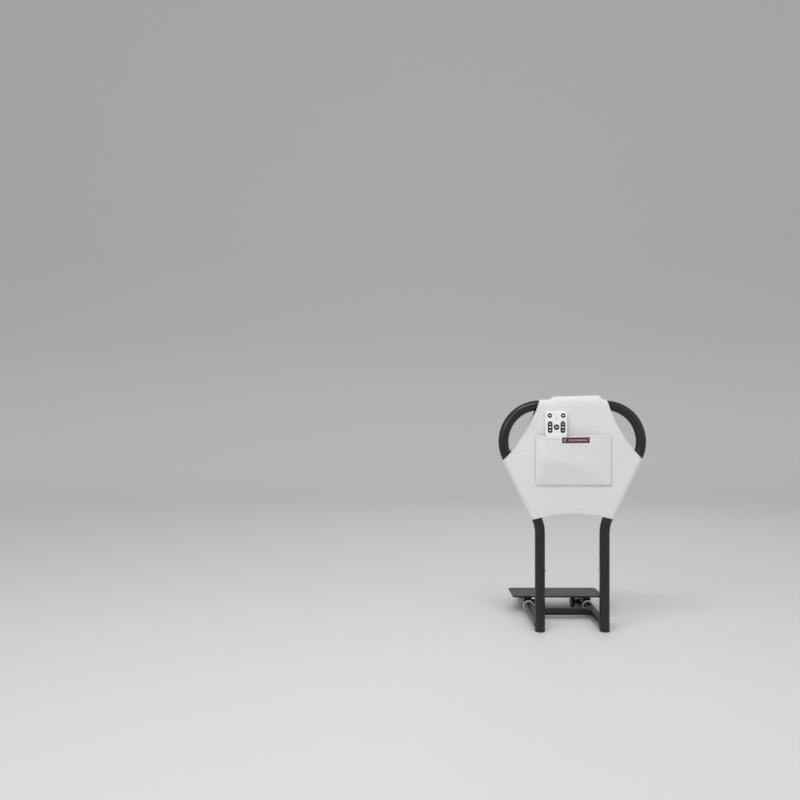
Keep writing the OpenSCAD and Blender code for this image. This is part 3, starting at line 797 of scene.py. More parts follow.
def cuff(s):
    """The cloth from the front panel's edge round the outside of the tube to the back panel's."""
    points = np.zeros((WRAP_ROWS, WRAP_TURNS, 3))
    flat = np.zeros((WRAP_ROWS, WRAP_TURNS, 2))
    ripple, hem, blend = 0.0005, 0.0005, 0.5
    for i, turn in enumerate(np.linspace(0, math.pi, WRAP_TURNS)):
        low, high = cuff_ends(COVER_R * math.sin(turn))
        for j, place in enumerate(np.linspace(low, high, WRAP_ROWS)):
            centre, out = tube_axis(place)
            lift = ripple * math.sin(place * 96 + turn * 2.2) * math.sin(turn) ** 2
            lift += hem * float(1 - smooth(place - low, *HEM_ENDS))
            lift *= smooth(turn, 0, blend) * (1 - smooth(turn, math.pi - blend, math.pi))
            reach = COVER_R + lift
            p = centre + out * reach * math.sin(turn)
            points[j, i] = (s * p[0], LEG_Y - reach * math.cos(turn), p[1])
            unrolled = centre + out * COVER_R * turn
            flat[j, i] = (s * unrolled[0], unrolled[1])
    return points, flat


def on_cuff(s, place, turn):
    """A point of the cloth round the tube, place along it, with its outward direction."""
    centre, out = tube_axis(place)
    p = centre + out * COVER_R * math.sin(turn)
    return (
        (s * p[0], LEG_Y - COVER_R * math.cos(turn), p[1]),
        (s * out[0] * math.sin(turn), -math.cos(turn), out[1] * math.sin(turn)),
    )


def hole_loop(s, inset):
    """Closed line round a hand hole's edge, inset into the cloth, with its outward directions."""
    line = []

    def edge_x(z):
        return CUT_CENTRE[0] - math.sqrt((CUT_R + inset) ** 2 - (CUT_CENTRE[1] - z) ** 2)

    gap = 0.002
    edge_z = np.linspace(wrap_point(cuff_ends(0.0)[1], 0.0)[1] + gap, BAR_Z - gap, 60)
    for z in edge_z:
        line.append(((s * edge_x(z), float(front_y(s * edge_x(z), z)), z), (0, -1, 0)))
    for turn in np.linspace(0, math.pi, 25):
        x = s * edge_x(BAR_Z + COVER_R * math.sin(turn))
        y, z = over_bar(np.array(x), turn)
        line.append(((x, float(y), float(z)), (0, -math.cos(turn), math.sin(turn))))
    for z in edge_z[::-1]:
        line.append(((s * edge_x(z), float(back_y(s * edge_x(z), z)), z), (0, 1, 0)))
    for turn in np.linspace(math.pi, 0, 21)[1:-1]:
        line.append(on_cuff(s, cuff_ends(COVER_R * math.sin(turn))[1] - inset * 1.35, turn))
    return tuple(np.array(column) for column in zip(*line))


def hem_loop(inset):
    """Closed line round the cover's bottom edge, inset upward, with its outward directions."""
    line = []
    reach = tube_axis(cuff_ends(0.0)[0])[0][0] - 0.002
    for s, surface, turns in ((1, front_y, (0, math.pi)), (-1, back_y, (math.pi, 0))):
        for x in np.linspace(-s * reach, s * reach, 60):
            z = float(arch_z(x)) + inset
            line.append(((x, float(surface(x, z)), z), (0, -s, 0)))
        for turn in np.linspace(*turns, 23)[1:-1]:
            line.append(on_cuff(s, cuff_ends(COVER_R * math.sin(turn))[0] + inset, turn))
    return tuple(np.array(column) for column in zip(*line))


def sew(stitches, loop):
    """Stitches all the way round a closed line."""
    stitches.line(*(np.concatenate([rows, rows[:1]]) for rows in loop))


def binding(name, loop, radius):
    """The rolled edge along a closed line."""
    roll = tube_mesh(name, loop[0], radius, CLOTH, closed=True, normals=loop[1])
    tidy_normals(roll)
    return roll


def strip(node, along, place, flip):
    """Cloth between front and back: place gives X and Z, from how far along and how far back."""
    depth = np.linspace(0, 1, 13)
    points = np.zeros((len(along), len(depth), 3))
    flat = np.zeros((len(along), len(depth), 2))
    for j, (edge_x, edge_z, run) in enumerate(along):
        front = float(front_y(edge_x, edge_z)) + STRIP_IN
        back = float(back_y(edge_x, edge_z)) - STRIP_IN
        for i, t in enumerate(depth):
            x, z = place(edge_x, edge_z, run, t)
            points[j, i] = (x, front + (back - front) * t, z)
            flat[j, i] = (t * (back - front), run)
    return cloth_piece(node + "_cloth", points, flat, CLOTH, STRIP_T, node, flip)


def gusset(s, name):
    """The cloth between front and back inside a hand hole, drawn in a little between them."""
    low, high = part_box(name)[0].z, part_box(name)[1].z
    along, run, lip_w = [], 0.0, 0.06
    for z in np.linspace(low, high, 40):
        x = float(hole_x(z))
        if along:
            run += math.hypot(x - s * along[-1][0], z - along[-1][1])
        along.append((s * x, z, run))

    def place(x, z, run, t):
        out = np.array([CUT_CENTRE[0] - s * x, CUT_CENTRE[1] - z])
        out /= np.linalg.norm(out)
        near_end = min(1.0, 3.2 * min(z - low, high - z) / (high - low) + 0.25)
        bow = (0.0021 * near_end + 0.0004 * math.sin(run * 70)) * math.sin(math.pi * t)
        lip = 0.0007 * (math.exp(-t / lip_w) + math.exp(-(1 - t) / lip_w))
        p = np.array([s * x, z]) - out * (0.0008 + bow - lip)
        return s * p[0], p[1]

    piece = strip(name, along, place, s < 0)
    return piece


def bottom_strip():
    """The strip that closes the arch between the legs."""
    low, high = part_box("cover_bottom")

    def place(x, z, run, t):
        return x, z + 0.0010 + 0.0015 * math.sin(math.pi * t) * math.cos(x * 9)

    along = [(x, float(arch_z(x)), x) for x in np.linspace(low.x, high.x, 49)]
    piece = strip("cover_bottom", along, place, True)
    return piece


def pad_roll():
    """Foam sleeve on the bar, rounded at its ends, under the cover."""
    end, gap, least = 0.012, 0.0006, 0.0005
    low, high = PAD_LOW.x + 0.001, PAD_HIGH.x - 0.001
    eased = end * np.linspace(0, 1, 6) ** 1.5
    between = np.linspace(low + end, high - end, 12)[1:-1]
    turns = np.linspace(0.10, math.pi - 0.10, 32)
    rings = []
    for x in np.concatenate([low + eased, between, high - eased[::-1]]):
        swell = math.sqrt(max(0.0, 1 - (1 - min(min(x - low, high - x) / end, 1.0)) ** 2))
        outer, inner = [], []
        for turn in turns:
            full = COVER_R + (pad_radius(turn) - COVER_R) * max(float(pad_share(x)), 0.0) - 0.0027
            radius = TUBE_R + gap + max(full - TUBE_R - gap, least) * (0.35 + 0.65 * swell)
            for line, r in ((outer, radius), (inner, TUBE_R + 0.0002)):
                line.append((x, LEG_Y - r * math.cos(turn), BAR_Z + r * math.sin(turn)))
        rings.append(outer + inner[::-1])
    rings = np.array(rings)
    rows, columns = rings.shape[:2]
    faces = grid_faces(rows, columns, ring=True)
    for first, flip in ((0, True), ((rows - 1) * columns, False)):
        for i in range(len(turns) - 1):
            quad = (first + i, first + i + 1, first + columns - 2 - i, first + columns - 1 - i)
            faces.append(quad[::-1] if flip else quad)
    roll = make_object("top_pad_foam", rings.reshape(-1, 3), faces, FOAM)
    tidy_normals(roll)
    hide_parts("top_pad")
    return roll


def tidy_normals(obj, sharp=None):
    """Faces all look outward; edges over sharp degrees are kept crisp."""
    work = bmesh.new()
    work.from_mesh(obj.data)
    bmesh.ops.recalc_face_normals(work, faces=work.faces)
    work.to_mesh(obj.data)
    work.free()
    if sharp is not None:
        obj.data.set_sharp_from_angle(angle=math.radians(sharp))


def corner_pull(over_a, over_b):
    """How much to draw a point in, so that a square corner turns round."""
    far = np.hypot(over_a, over_b)
    return np.where(far > 1e-9, np.maximum(over_a, over_b) / np.maximum(far, 1e-9), 1.0)


def drawn_in(place, over, reach, pull):
    """A grid's places along one axis, with those past reach drawn in."""
    return np.sign(place) * (np.minimum(np.abs(place), reach) + over * pull)


def flap_grid(width, length, columns, rows, radius=0.006):
    """Flat grid of a patch with round corners: local places from the centre, row by row."""
    x, y = np.meshgrid(np.linspace(-1, 1, columns) * width / 2, np.linspace(-1, 1, rows) * length / 2)
    reach_x, reach_y = width / 2 - radius, length / 2 - radius
    over_x, over_y = np.maximum(np.abs(x) - reach_x, 0), np.maximum(np.abs(y) - reach_y, 0)
    pull = corner_pull(over_x, over_y)
    return drawn_in(x, over_x, reach_x, pull), drawn_in(y, over_y, reach_y, pull)


FLAP_FOOT = 0.0012  # stand-off from the back where a flap is sewn down
FLAP_REST = 0.0036  # and where it lies on the tape
FLAP_HEM = 0.0003


def flap(name, centre, width, length, turn, sewn, stitches):
    """A closing flap on the back: sewn down along one edge, its free side lying on the tape."""
    cos, sin = math.cos(turn), math.sin(turn)

    def laid(x, y):
        """Where the flap's points lie on the cover's back, and how far they are from the seam."""
        px, pz = centre[0] + x * cos + y * sin, centre[1] - x * sin + y * cos
        edge = {"left": x + width / 2, "right": width / 2 - x, "top": length / 2 - y}[sewn]
        rise = FLAP_FOOT + (FLAP_REST - FLAP_FOOT) * smooth(edge, 0.003, 0.016)
        return px, back_y(px, pz) - relief(px, pz, True) * smooth(edge, 0.0, 0.02) + rise, pz, edge

    x, y = flap_grid(width, length, *((27, 61) if length > width else (61, 27)))
    px, depth, pz, edge = laid(x, y)
    free = np.minimum(width / 2 - np.abs(x), length / 2 - np.abs(y))
    depth = depth + 0.0004 * np.sin(px * 61 + pz * 47) * smooth(edge, 0.01, 0.03)
    depth = depth + FLAP_HEM * (1 - smooth(free, 0.0085, 0.0095))
    points, flat = np.stack([px, depth, pz], axis=2), np.stack([x, y], axis=2)
    patch = cloth_piece(name + "_cloth", points, flat, CLOTH, 0.0010, name, flip=True)
    for inset in (0.0028, 0.0080):
        ring = outline(width - 2 * inset, length - 2 * inset, 0.004, 6)
        even = resample(np.pad(np.concatenate([ring, ring[:1]]), ((0, 0), (0, 1))), 0.002)[0]
        px, depth, pz, _ = laid(even[:, 0], even[:, 1])
        stitches.line(np.stack([px, depth + FLAP_HEM, pz], axis=1), (0.0, 1.0, 0.0))
    return patch


# ---------------------------------------------------------------- pocket, label, sleeve

POCKET_LOW, POCKET_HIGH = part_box("pocket")
SLEEVE_LOW, SLEEVE_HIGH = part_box("handset_sleeve")
PANEL_Y = LEG_Y - COVER_R
POCKET_STEP = 0.0025
POCKET_T = 0.0012
HEM_H = 0.0085
POCKET_WAVES = ((23, 6, 0.16, 0.0005), (29, 4, 0.05, 0.00015))  # as FRONT_WAVES


def mouth_z(x):
    """Height of the pocket's mouth: pulled down over the handset, a little slack beside it."""
    x = np.asarray(x, float)
    held = smooth(x, SLEEVE_LOW.x - 0.014, SLEEVE_LOW.x + 0.004)
    held = held * (1 - smooth(x, SLEEVE_HIGH.x - 0.004, SLEEVE_HIGH.x + 0.024))
    pulled, rise, rise_x, rise_w, below_top = 0.0042, 0.0022, 0.070, 0.030, 0.0004
    slack = rise * np.exp(-(((x - rise_x) / rise_w) ** 2))
    return POCKET_HIGH.z - pulled * held + slack - below_top


def blurred(grid, cells):
    """The grid smoothed by a bell curve of that width, with its edge values carried outward."""
    reach = int(3 * cells)
    bell = np.exp(-0.5 * (np.arange(-reach, reach + 1) / cells) ** 2)
    bell /= bell.sum()
    wide = np.pad(grid, reach, mode="edge")
    wide = np.apply_along_axis(np.convolve, 0, wide, bell, mode="valid")
    return np.apply_along_axis(np.convolve, 1, wide, bell, mode="valid")


def pocket_lift():
    """Stand-off of the pocket's face from the panel on a grid: taut cloth eased over the handset,
    with a little slack beside it and one wave in its mouth."""
    xs = np.arange(POCKET_LOW.x, POCKET_HIGH.x + 1e-6, POCKET_STEP)
    zs = np.linspace(POCKET_LOW.z, POCKET_HIGH.z + 0.002, 65)
    gx, gz = np.meshgrid(xs, zs)
    air, blur = 0.0003, 0.0085
    over = PANEL_Y - SLEEVE_LOW.y + POCKET_T + air
    held = (gx > SLEEVE_LOW.x - 0.001) & (gx < SLEEVE_HIGH.x + 0.001) & (gz > SLEEVE_LOW.z)
    border = np.minimum(np.minimum(gx - POCKET_LOW.x, POCKET_HIGH.x - gx), gz - POCKET_LOW.z)
    sewn_edge, more_below, less_left = 0.0034, 0.0012, 0.0016
    rim = sewn_edge + more_below * (1 - smooth(gz, POCKET_LOW.z, POCKET_LOW.z + 0.025))
    rim = rim - less_left * (1 - smooth(gx, POCKET_LOW.x, POCKET_LOW.x + 0.04))
    left, right, foot = SLEEVE_LOW.x - 0.006, SLEEVE_HIGH.x + 0.008, SLEEVE_LOW.z - 0.006
    beside = np.maximum((left - gx) / (left - POCKET_LOW.x), (gx - right) / (POCKET_HIGH.x - right))
    fall = np.clip(np.maximum(beside, (foot - gz) / (foot - POCKET_LOW.z)), 0, 1)
    fall = blurred(fall, blur / POCKET_STEP)
    eased = over + (rim - over) * fall
    short = float(np.max((over - eased) * held))
    lift = eased + short * (1 - fall)
    slack = sum(waves(gx, gz, *each) for each in POCKET_WAVES)
    away = 1 - smooth(gx, SLEEVE_LOW.x - 0.02, SLEEVE_LOW.x) * (
        1 - smooth(gx, SLEEVE_HIGH.x, SLEEVE_HIGH.x + 0.02)
    )
    mouth = smooth(gz, POCKET_HIGH.z - 0.05, POCKET_HIGH.z)
    mouth *= smooth(gx, SLEEVE_HIGH.x + 0.012, SLEEVE_HIGH.x + 0.05)
    mouth *= 1 - smooth(gx, POCKET_HIGH.x - 0.035, POCKET_HIGH.x - 0.004)
    mouth_wave = 0.0010 * np.sin((gx - SLEEVE_HIGH.x) * 74) * mouth
    lift = lift + np.abs(slack) * away * smooth(border, 0.0, 0.02) + mouth_wave
    sewn = POCKET_T / rim
    rounding = 0.0020
    return xs, zs, lift * (sewn + (1 - sewn) * (1 - np.exp(-border / rounding)))


POCKET_XS, POCKET_ZS, POCKET_LIFT = pocket_lift()


def pocket_off(x, z):
    """Stand-off of the pocket's face at any place, from the grid."""
    fx = np.clip((np.asarray(x, float) - POCKET_XS[0]) / POCKET_STEP, 0, len(POCKET_XS) - 1.001)
    rise = POCKET_ZS[1] - POCKET_ZS[0]
    fz = np.clip((np.asarray(z, float) - POCKET_ZS[0]) / rise, 0, len(POCKET_ZS) - 1.001)
    i, j = fx.astype(int), fz.astype(int)
    a, b = fx - i, fz - j
    below, above = (
        POCKET_LIFT[row, i] * (1 - a) + POCKET_LIFT[row, i + 1] * a for row in (j, j + 1)
    )
    return below * (1 - b) + above * b


def pocket_face(x, z):
    """Y of the pocket's face."""
    return front_y(x, z) - pocket_off(x, z)


def pocket_cloth():
    """The pocket: a patch sewn down on three sides, with its corners rounded off."""
    rows, flat = [], []
    radius = 0.009
    centre, half = (POCKET_XS[0] + POCKET_XS[-1]) / 2, (POCKET_XS[-1] - POCKET_XS[0]) / 2
    for share in np.linspace(0, 1, len(POCKET_ZS)):
        z = POCKET_LOW.z + (mouth_z(POCKET_XS) - POCKET_LOW.z) * share
        over_x = np.maximum(np.abs(POCKET_XS - centre) - (half - radius), 0)
        over_z = np.maximum(POCKET_LOW.z + radius - z, 0)
        pull = corner_pull(over_x, over_z)
        x = centre + drawn_in(POCKET_XS - centre, over_x, half - radius, pull)
        z = np.where(over_z > 0, POCKET_LOW.z + radius - over_z * pull, z)
        rows.append(np.stack([x, pocket_face(x, z), z], axis=1))
        flat.append(np.stack([x, z], axis=1))
    return cloth_piece("pocket_cloth", rows, flat, CLOTH, POCKET_T, "pocket")


def pocket_hem():
    """A strip of cloth folded over the pocket's mouth."""
    thick, seed = 0.0004, 31
    x = np.linspace(POCKET_LOW.x + 0.001, POCKET_HIGH.x - 0.001, 97)
    rows, flat = [], []
    for t in np.linspace(0, 1, 9):
        z = mouth_z(x) - HEM_H + HEM_H * t
        puff = thick * math.sin(math.pi * t) ** 0.35
        ripple = waves(x, np.full_like(x, seed), seed, 4, 0.045, 0.0001)
        y = pocket_face(x, z) - puff - ripple * math.sin(math.pi * t)
        rows.append(np.stack([x, y, z], axis=1))
        flat.append(np.stack([x, z], axis=1))
    return cloth_piece("pocket_hem_cloth", rows, flat, CLOTH, 0.0005, "pocket_hem")


def over_hem(z):
    """Extra height of the label where it lies on the pocket's hem."""
    hem_foot = POCKET_HIGH.z - HEM_H
    return 0.0005 * smooth(z, hem_foot - 0.0015, hem_foot + 0.0005)


def label_patch():
    """Woven label with a plain pattern: a bar and a block in orange thread on navy."""
    low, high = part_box("label")
    gx, gz = np.meshgrid(np.linspace(low.x, high.x, 61), np.linspace(low.z, high.z, 17))
    edge = np.minimum(np.minimum(gx - low.x, high.x - gx), np.minimum(gz - low.z, high.z - gz))
    lift = 0.0003 + 0.0006 * smooth(edge, 0.0, 0.0015) - 0.00015 * smooth(edge, 0.0018, 0.0030)
    points = np.stack([gx, pocket_face(gx, gz) - lift - over_hem(gz), gz], axis=2)
    patch = cloth_piece("label_cloth", points, points[:, :, ::2], NAVY, 0.0004, "label")
    marks = Cloth()
    pitch, stations, arc = 0.00055, 7, 5

    def threads(x0, x1, height):
        """Upright satin threads side by side, each rounded over and tied down at its ends."""
        for k in range(int((x1 - x0) / pitch)):
            x = x0 + (k + 0.5) * pitch
            rows = []
            for t in np.linspace(-1, 1, stations):
                z = (low.z + high.z) / 2 + t * height / 2
                for a in np.linspace(0, math.pi, arc):
                    px = x - math.cos(a) * pitch * 0.5
                    up = 0.00072 + 0.00030 * math.sin(a) * (1 - 0.8 * abs(t) ** 5)
                    rows.append((px, float(pocket_face(px, z)) - up - float(over_hem(z)), z))
            rows = np.array(rows).reshape(stations, arc, 3)
            marks.add(rows, rows[:, :, ::2])

    tall = (high.z - low.z) * 0.40
    block, block_x = tall * 1.25, low.x + 0.0085
    threads(block_x - block / 2, block_x + block / 2, block)
    threads(low.x + 0.0205, high.x - 0.0060, tall * 0.8)
    return patch, make_object("label_pattern", marks.points, marks.faces, ORANGE, marks.uvs)


def label_stitches():
    """The label's seam, just inside its edge."""
    centre, width, height = face("label")
    inset = 0.0013
    ring = [
        (centre[0] + a * (width / 2 - inset), 0.0, centre[1] + b * (height / 2 - inset))
        for a, b in ((-1, -1), (1, -1), (1, 1), (-1, 1), (-1, -1))
    ]
    fine = resample(np.array(ring), 0.0012)[0]
    fine[:, 1] = pocket_face(fine[:, 0], fine[:, 2]) - 0.0009 - over_hem(fine[:, 2])
    seam = Stitches(radius=0.00024, length=0.0018)
    seam.line(fine, (0.0, -1.0, 0.0), pitch=0.0024)
    return seam.build("label_stitches", NAVY_THREAD)


def sleeve_cloth():
    """The inner sleeve that carries the handset, sewn to the panel at both sides and below."""
    gap, radius, foot = 0.0006, 0.005, 0.007
    left, right = SLEEVE_LOW.x + gap, SLEEVE_HIGH.x - gap
    depth = PANEL_Y - (SLEEVE_LOW.y + 0.0004)

    def corner(x, first, last):
        turns = np.radians(np.linspace(first, last, 6))
        return [(x + radius * math.cos(a), depth - radius + radius * math.sin(a)) for a in turns]

    profile = [(left, depth * t) for t in (0.0, 0.3, 0.55)] + corner(left + radius, 180, 90)
    profile += [(x, depth) for x in np.linspace(left + radius, right - radius, 15)[1:-1]]
    profile += corner(right - radius, 90, 0) + [(right, depth * t) for t in (0.55, 0.3, 0.0)]
    profile = np.array(profile)
    step = np.concatenate([[0], np.cumsum(np.linalg.norm(np.diff(profile, axis=0), axis=1))])
    tall = SLEEVE_HIGH.z - SLEEVE_LOW.z
    rows, flat = [], []
    for h in np.concatenate([np.linspace(0, 1, 7)[:-1] * foot, np.linspace(foot, tall, 24)]):
        round_off = math.sqrt(max(0.0, 1 - (1 - min(h / foot, 1.0)) ** 2))
        off = profile[:, 1] * (0.05 + 0.95 * round_off)
        wave = 0.00025 * np.sin(profile[:, 0] * 160 + h * 90) * (off < depth * 0.9)
        y = np.minimum(PANEL_Y - off + wave, PANEL_Y - gap)
        z = np.full(len(profile), SLEEVE_LOW.z + h)
        rows.append(np.stack([profile[:, 0], y, z], axis=1))
        flat.append(np.stack([step, z], axis=1))
    sleeve = cloth_piece("handset_sleeve_cloth", rows, flat, INNER_CLOTH, 0.0006, "handset_sleeve")
    return sleeve


# ---------------------------------------------------------------- moulded and metal pieces


SHARP = 35  # degrees over which an edge of a moulded or turned piece is kept crisp


def outline(width, height, radius, per_corner=8):
    """Rounded rectangle, anticlockwise from the right, as X and Z from its centre."""
    radius = min(radius, width / 2 - 1e-6, height / 2 - 1e-6)
    reach_x, reach_z = width / 2 - radius, height / 2 - radius
    return np.array([
        (sx * reach_x + radius * math.cos(a), sz * reach_z + radius * math.sin(a))
        for sx, sz, first in ((1, 1, 0), (-1, 1, 90), (-1, -1, 180), (1, -1, 270))
        for a in np.radians(np.linspace(first, first + 90, per_corner))
    ])


def loft(name, loops, material, sharp=40):
    """A closed solid through loops of points, all of one count, capped at both ends."""
    loops = np.array(loops)
    rows, columns = loops.shape[:2]
    faces = grid_faces(rows, columns, ring=True)
    faces += ends(rows, columns)
    obj = make_object(name, loops.reshape(-1, 3), faces, material)
    tidy_normals(obj, sharp)
    return obj


def slab(name, front, y_back, y_front, radius, fillet, material, chamfer=0.0002, per_corner=8):
    """A plate with round corners and a rolled edge at y_front.

    front is its centre, width and height."""
    centre, width, height = front
    toward = math.copysign(1, y_front - y_back)
    loops = []

    def ring(inset, y):
        o = outline(width - 2 * inset, height - 2 * inset, max(radius - inset, 0.0004), per_corner)
        loops.append([(centre[0] + x, y, centre[1] + z) for x, z in o])

    ring(chamfer, y_back)
    ring(0.0, y_back + toward * chamfer)
    for a in np.radians(np.linspace(0, 90, 7)):
        ring(fillet * (1 - math.cos(a)), y_front - toward * fillet * (1 - math.sin(a)))
    top = min(width, height) / 2 - fillet
    for share in (0.12, 0.3, 0.55, 0.8, 0.97):
        ring(fillet + top * share, y_front)
    return loft(name, loops, material, SHARP)


def bored(obj, cutter):
    """Cuts a solid with another, which then goes."""
    cut = obj.modifiers.new("cut", "BOOLEAN")
    cut.operation, cut.solver, cut.object = "DIFFERENCE", "EXACT", cutter
    shown = bpy.context.evaluated_depsgraph_get()
    mesh = bpy.data.meshes.new_from_object(obj.evaluated_get(shown))
    obj.modifiers.clear()
    material = obj.data.materials[0]
    obj.data = mesh
    mesh.materials.clear()
    mesh.materials.append(material)
    bpy.data.objects.remove(cutter)
    mesh.polygons.foreach_set("material_index", [0] * len(mesh.polygons))
    mesh.set_sharp_from_angle(angle=math.radians(SHARP))
    return obj


def joined(parts):
    """Several meshes as one."""
    bpy.context.view_layer.update()
    work = bmesh.new()
    for part in parts:
        work.from_mesh(part.data)
    work.to_mesh(parts[0].data)
    work.free()
    for part in parts[1:]:
        bpy.data.objects.remove(part)
    return parts[0]


def softened(node, width, body, material):
    """The CAD node's shape with its hard edges rounded, as a piece of its own."""
    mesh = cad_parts[node].data.copy()
    mesh.name = node + "_piece"
    if mesh.has_custom_normals:
        mesh.normals_split_custom_set([(0, 0, 0)] * len(mesh.loops))
        for layer in [a for a in mesh.attributes if a.name == "custom_normal"]:
            mesh.attributes.remove(layer)
    obj = bpy.data.objects.new(node + "_piece", mesh)
    bpy.context.scene.collection.objects.link(obj)
    mesh.materials.clear()
    mesh.materials.append(material)
    work = bmesh.new()
    work.from_mesh(mesh)
    bmesh.ops.remove_doubles(work, verts=work.verts, dist=2e-6)
    flat, corner, shaded = (math.radians(angle) for angle in (0.6, 38, 50))
    bmesh.ops.dissolve_limit(work, angle_limit=flat, verts=work.verts, edges=work.edges)
    bmesh.ops.recalc_face_normals(work, faces=work.faces)
    hard = [e for e in work.edges if len(e.link_faces) == 2 and e.calc_face_angle(0) > corner]
    bmesh.ops.bevel(
        work, geom=hard, offset=width, segments=3, profile=0.5, affect="EDGES", clamp_overlap=True
    )
    for polygon in work.faces:
        polygon.smooth = True
        polygon.material_index = 0
    work.to_mesh(mesh)
    work.free()
    mesh.set_sharp_from_angle(angle=shaded)
    weighted = obj.modifiers.new("even shading", "WEIGHTED_NORMAL")
    weighted.keep_sharp, weighted.weight = True, 60
    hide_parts(node)
    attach(obj, body)


def turned(name, x, toward, centre, rings, material, sharp):
    """A turned shape round the X axis from x; rings have a distance along and radii round it."""
    return loft(name, [
        [
            (x + toward * along, centre.y + r * math.cos(turn), centre.z + r * math.sin(turn))
            for r, turn in zip(radii, np.linspace(0, 2 * math.pi, len(radii), endpoint=False))
        ]
        for along, radii in rings
    ], material, sharp)


def stud(s, side):
    """The clamp screw, with its thread as a helix and a tapered tip."""
    node = "lock_stud_" + side
    low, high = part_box(node)
    radius = (high.z - low.z) / 2
    pitch, depth, sides, taper = 0.00125, 0.00060, 28, 0.004
    rings = []
    for along in np.arange(0, high.x - low.x + 1e-9, pitch / 5):
        end = min(1.0, 0.72 + along / taper)
        ridges = [1 - abs(2 * ((along / pitch - k / sides) % 1.0) - 1) for k in range(sides)]
        rings.append((along, [(radius - depth * (1 - ridge)) * end for ridge in ridges]))
    tip = low.x if s < 0 else high.x
    screw = turned(node + "_piece", tip, -s, middle(node), rings, ZINC, sharp=80)
    dress(screw, "stud_" + side, "bright_steel", node)


def snap_button(s, side):
    """The button's pin, with its domed nose."""
    node = "snap_button_" + side
    low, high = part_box(node)
    long, radius = high.x - low.x, (high.z - low.z) / 2
    shank = long * 0.72
    profile = [(0.0, radius * 0.93), (0.0004, radius), (shank, radius)]
    for a in np.radians([20, 40, 60, 78, 90]):
        profile.append((shank + long * 0.28 * math.sin(a), radius * (0.35 + 0.65 * math.cos(a))))
    profile.append((long, radius * 0.1))
    root = low.x if s < 0 else high.x
    sides = 48
    rings = [(along, [r] * sides) for along, r in profile]
    pin = turned(node + "_piece", root, -s, middle(node), rings, ZINC, SHARP)
    dress(pin, "button_" + side, "bright_steel", node)


def weld_bead(name, path, radius, body):
    """A run of weld round a joint: a closed, rippled bead along path."""
    even = resample(np.asarray(path, float), 0.0009)[0][:-1]
    step = np.arange(len(even))
    ripple = radius * (1 + 0.16 * np.abs(np.sin(step * 0.62)) + 0.05 * np.sin(step * 0.17 + 1))
    bead = tube_mesh(name, even, ripple, WELD, sides=9, closed=True)
    tidy_normals(bead)
    dress(bead, body, "black_steel")


# ---------------------------------------------------------------- handset


def icon(name, points, y, body):
    """A flat printed mark that stands a hair above a key's face."""
    centre = points.mean(axis=0)
    inner = centre + (points - centre) * 0.93
    levels = ((points, 0.0003), (points, -0.00003), (inner, -0.00008))
    loops = [[(x, y + off, z) for x, z in ring] for ring, off in levels]
    dress(loft(name, loops, PRINT, sharp=60), body, "key_black")


def bar_mark(x, z, width, height):
    """A short level bar with round ends."""
    return outline(width, height, height * 0.35, 5) + np.array([x, z])


def arrow_mark(x, z, size, up):
    """A triangle with softened corners, pointing up (1) or down (-1)."""
    corners = np.array([(0.0, 0.62), (-0.62, -0.42), (0.62, -0.42)])
    cut = 0.16
    points = []
    for k, corner in enumerate(corners):
        for t in np.linspace(0, 1, 5):
            a = corner + (corners[k - 1] - corner) * cut * (1 - t)
            b = corner + (corners[(k + 1) % 3] - corner) * cut * t
            points.append((a + b) / 2)
    return np.array(points) * size * np.array([1, up]) + np.array([x, z])


def key_cap(node, body):
    """A rubber key with a rolled edge; gives its centre and the Y of its face."""
    low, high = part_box(node)
    centre, width, height = face(node)
    radius = min(width, height) / 2
    cap = slab(node + "_cap", face(node), high.y, low.y, radius, 0.0011, KEY, per_corner=12)
    dress(cap, body, "key_black", node)
    return centre, low.y


KEY_ROOM = 0.0014  # from a key's back to its well's floor, for the press
WELL_NODES = ("key_top_left", "key_top_right", "rocker_left", "rocker_right")
WELL_NODES += ("key_centre", "status_lens")


def key_wells(face_y):
    """What is cut out of the handset's face, at face_y, round its keys and lamp."""
    gap = 0.00035
    wells = []
    for node in WELL_NODES:
        centre, width, height = face(node)
        w, h = width + 2 * gap, height + 2 * gap
        o = outline(w, h, min(w, h) / 2, 12) + np.array(centre)
        floor_y = max(face_y + 0.0035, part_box(node)[1].y + KEY_ROOM)
        loops = [[(x, y, z) for x, z in o] for y in (face_y - 0.002, floor_y)]
        wells.append(loft(node + "_well", loops, WHITE))
    return joined(wells)


def handset_case():
    """Two moulded halves and the battery door with its finger ribs."""
    case = {"radius": 0.008, "material": WHITE, "chamfer": 0.0003, "per_corner": 12}
    shape = face("handset_front")
    low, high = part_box("handset_front")
    front = slab("handset_front_shell", shape, high.y, low.y, fillet=0.0026, **case)
    bored(front, key_wells(low.y))
    dress(front, "handset", "white_plastic", "handset_front")
    low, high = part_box("handset_back")
    back = slab("handset_back_shell", shape, low.y, high.y, fillet=0.0030, **case)
    dress(back, "handset", "white_plastic", "handset_back")
    shape = face("battery_door")
    low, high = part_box("battery_door")
    door = slab("battery_door_piece", shape, low.y, high.y + 0.0002, 0.003, 0.0004, WHITE, chamfer=0.0001)
    dress(door, "handset", "white_plastic", "battery_door")
    ribs = []
    for k in range(4):
        z = high.z - 0.008 - k * 0.0026
        path = [(shape[0][0] + t, high.y + 0.00015, z) for t in np.linspace(-0.008, 0.008, 9)]
        ribs.append(tube_mesh(f"door_rib_{k}", path, 0.0006, WHITE))
        tidy_normals(ribs[-1])
    grips = joined(ribs)
    grips.name = "battery_door_ribs"
    dress(grips, "handset", "white_plastic")


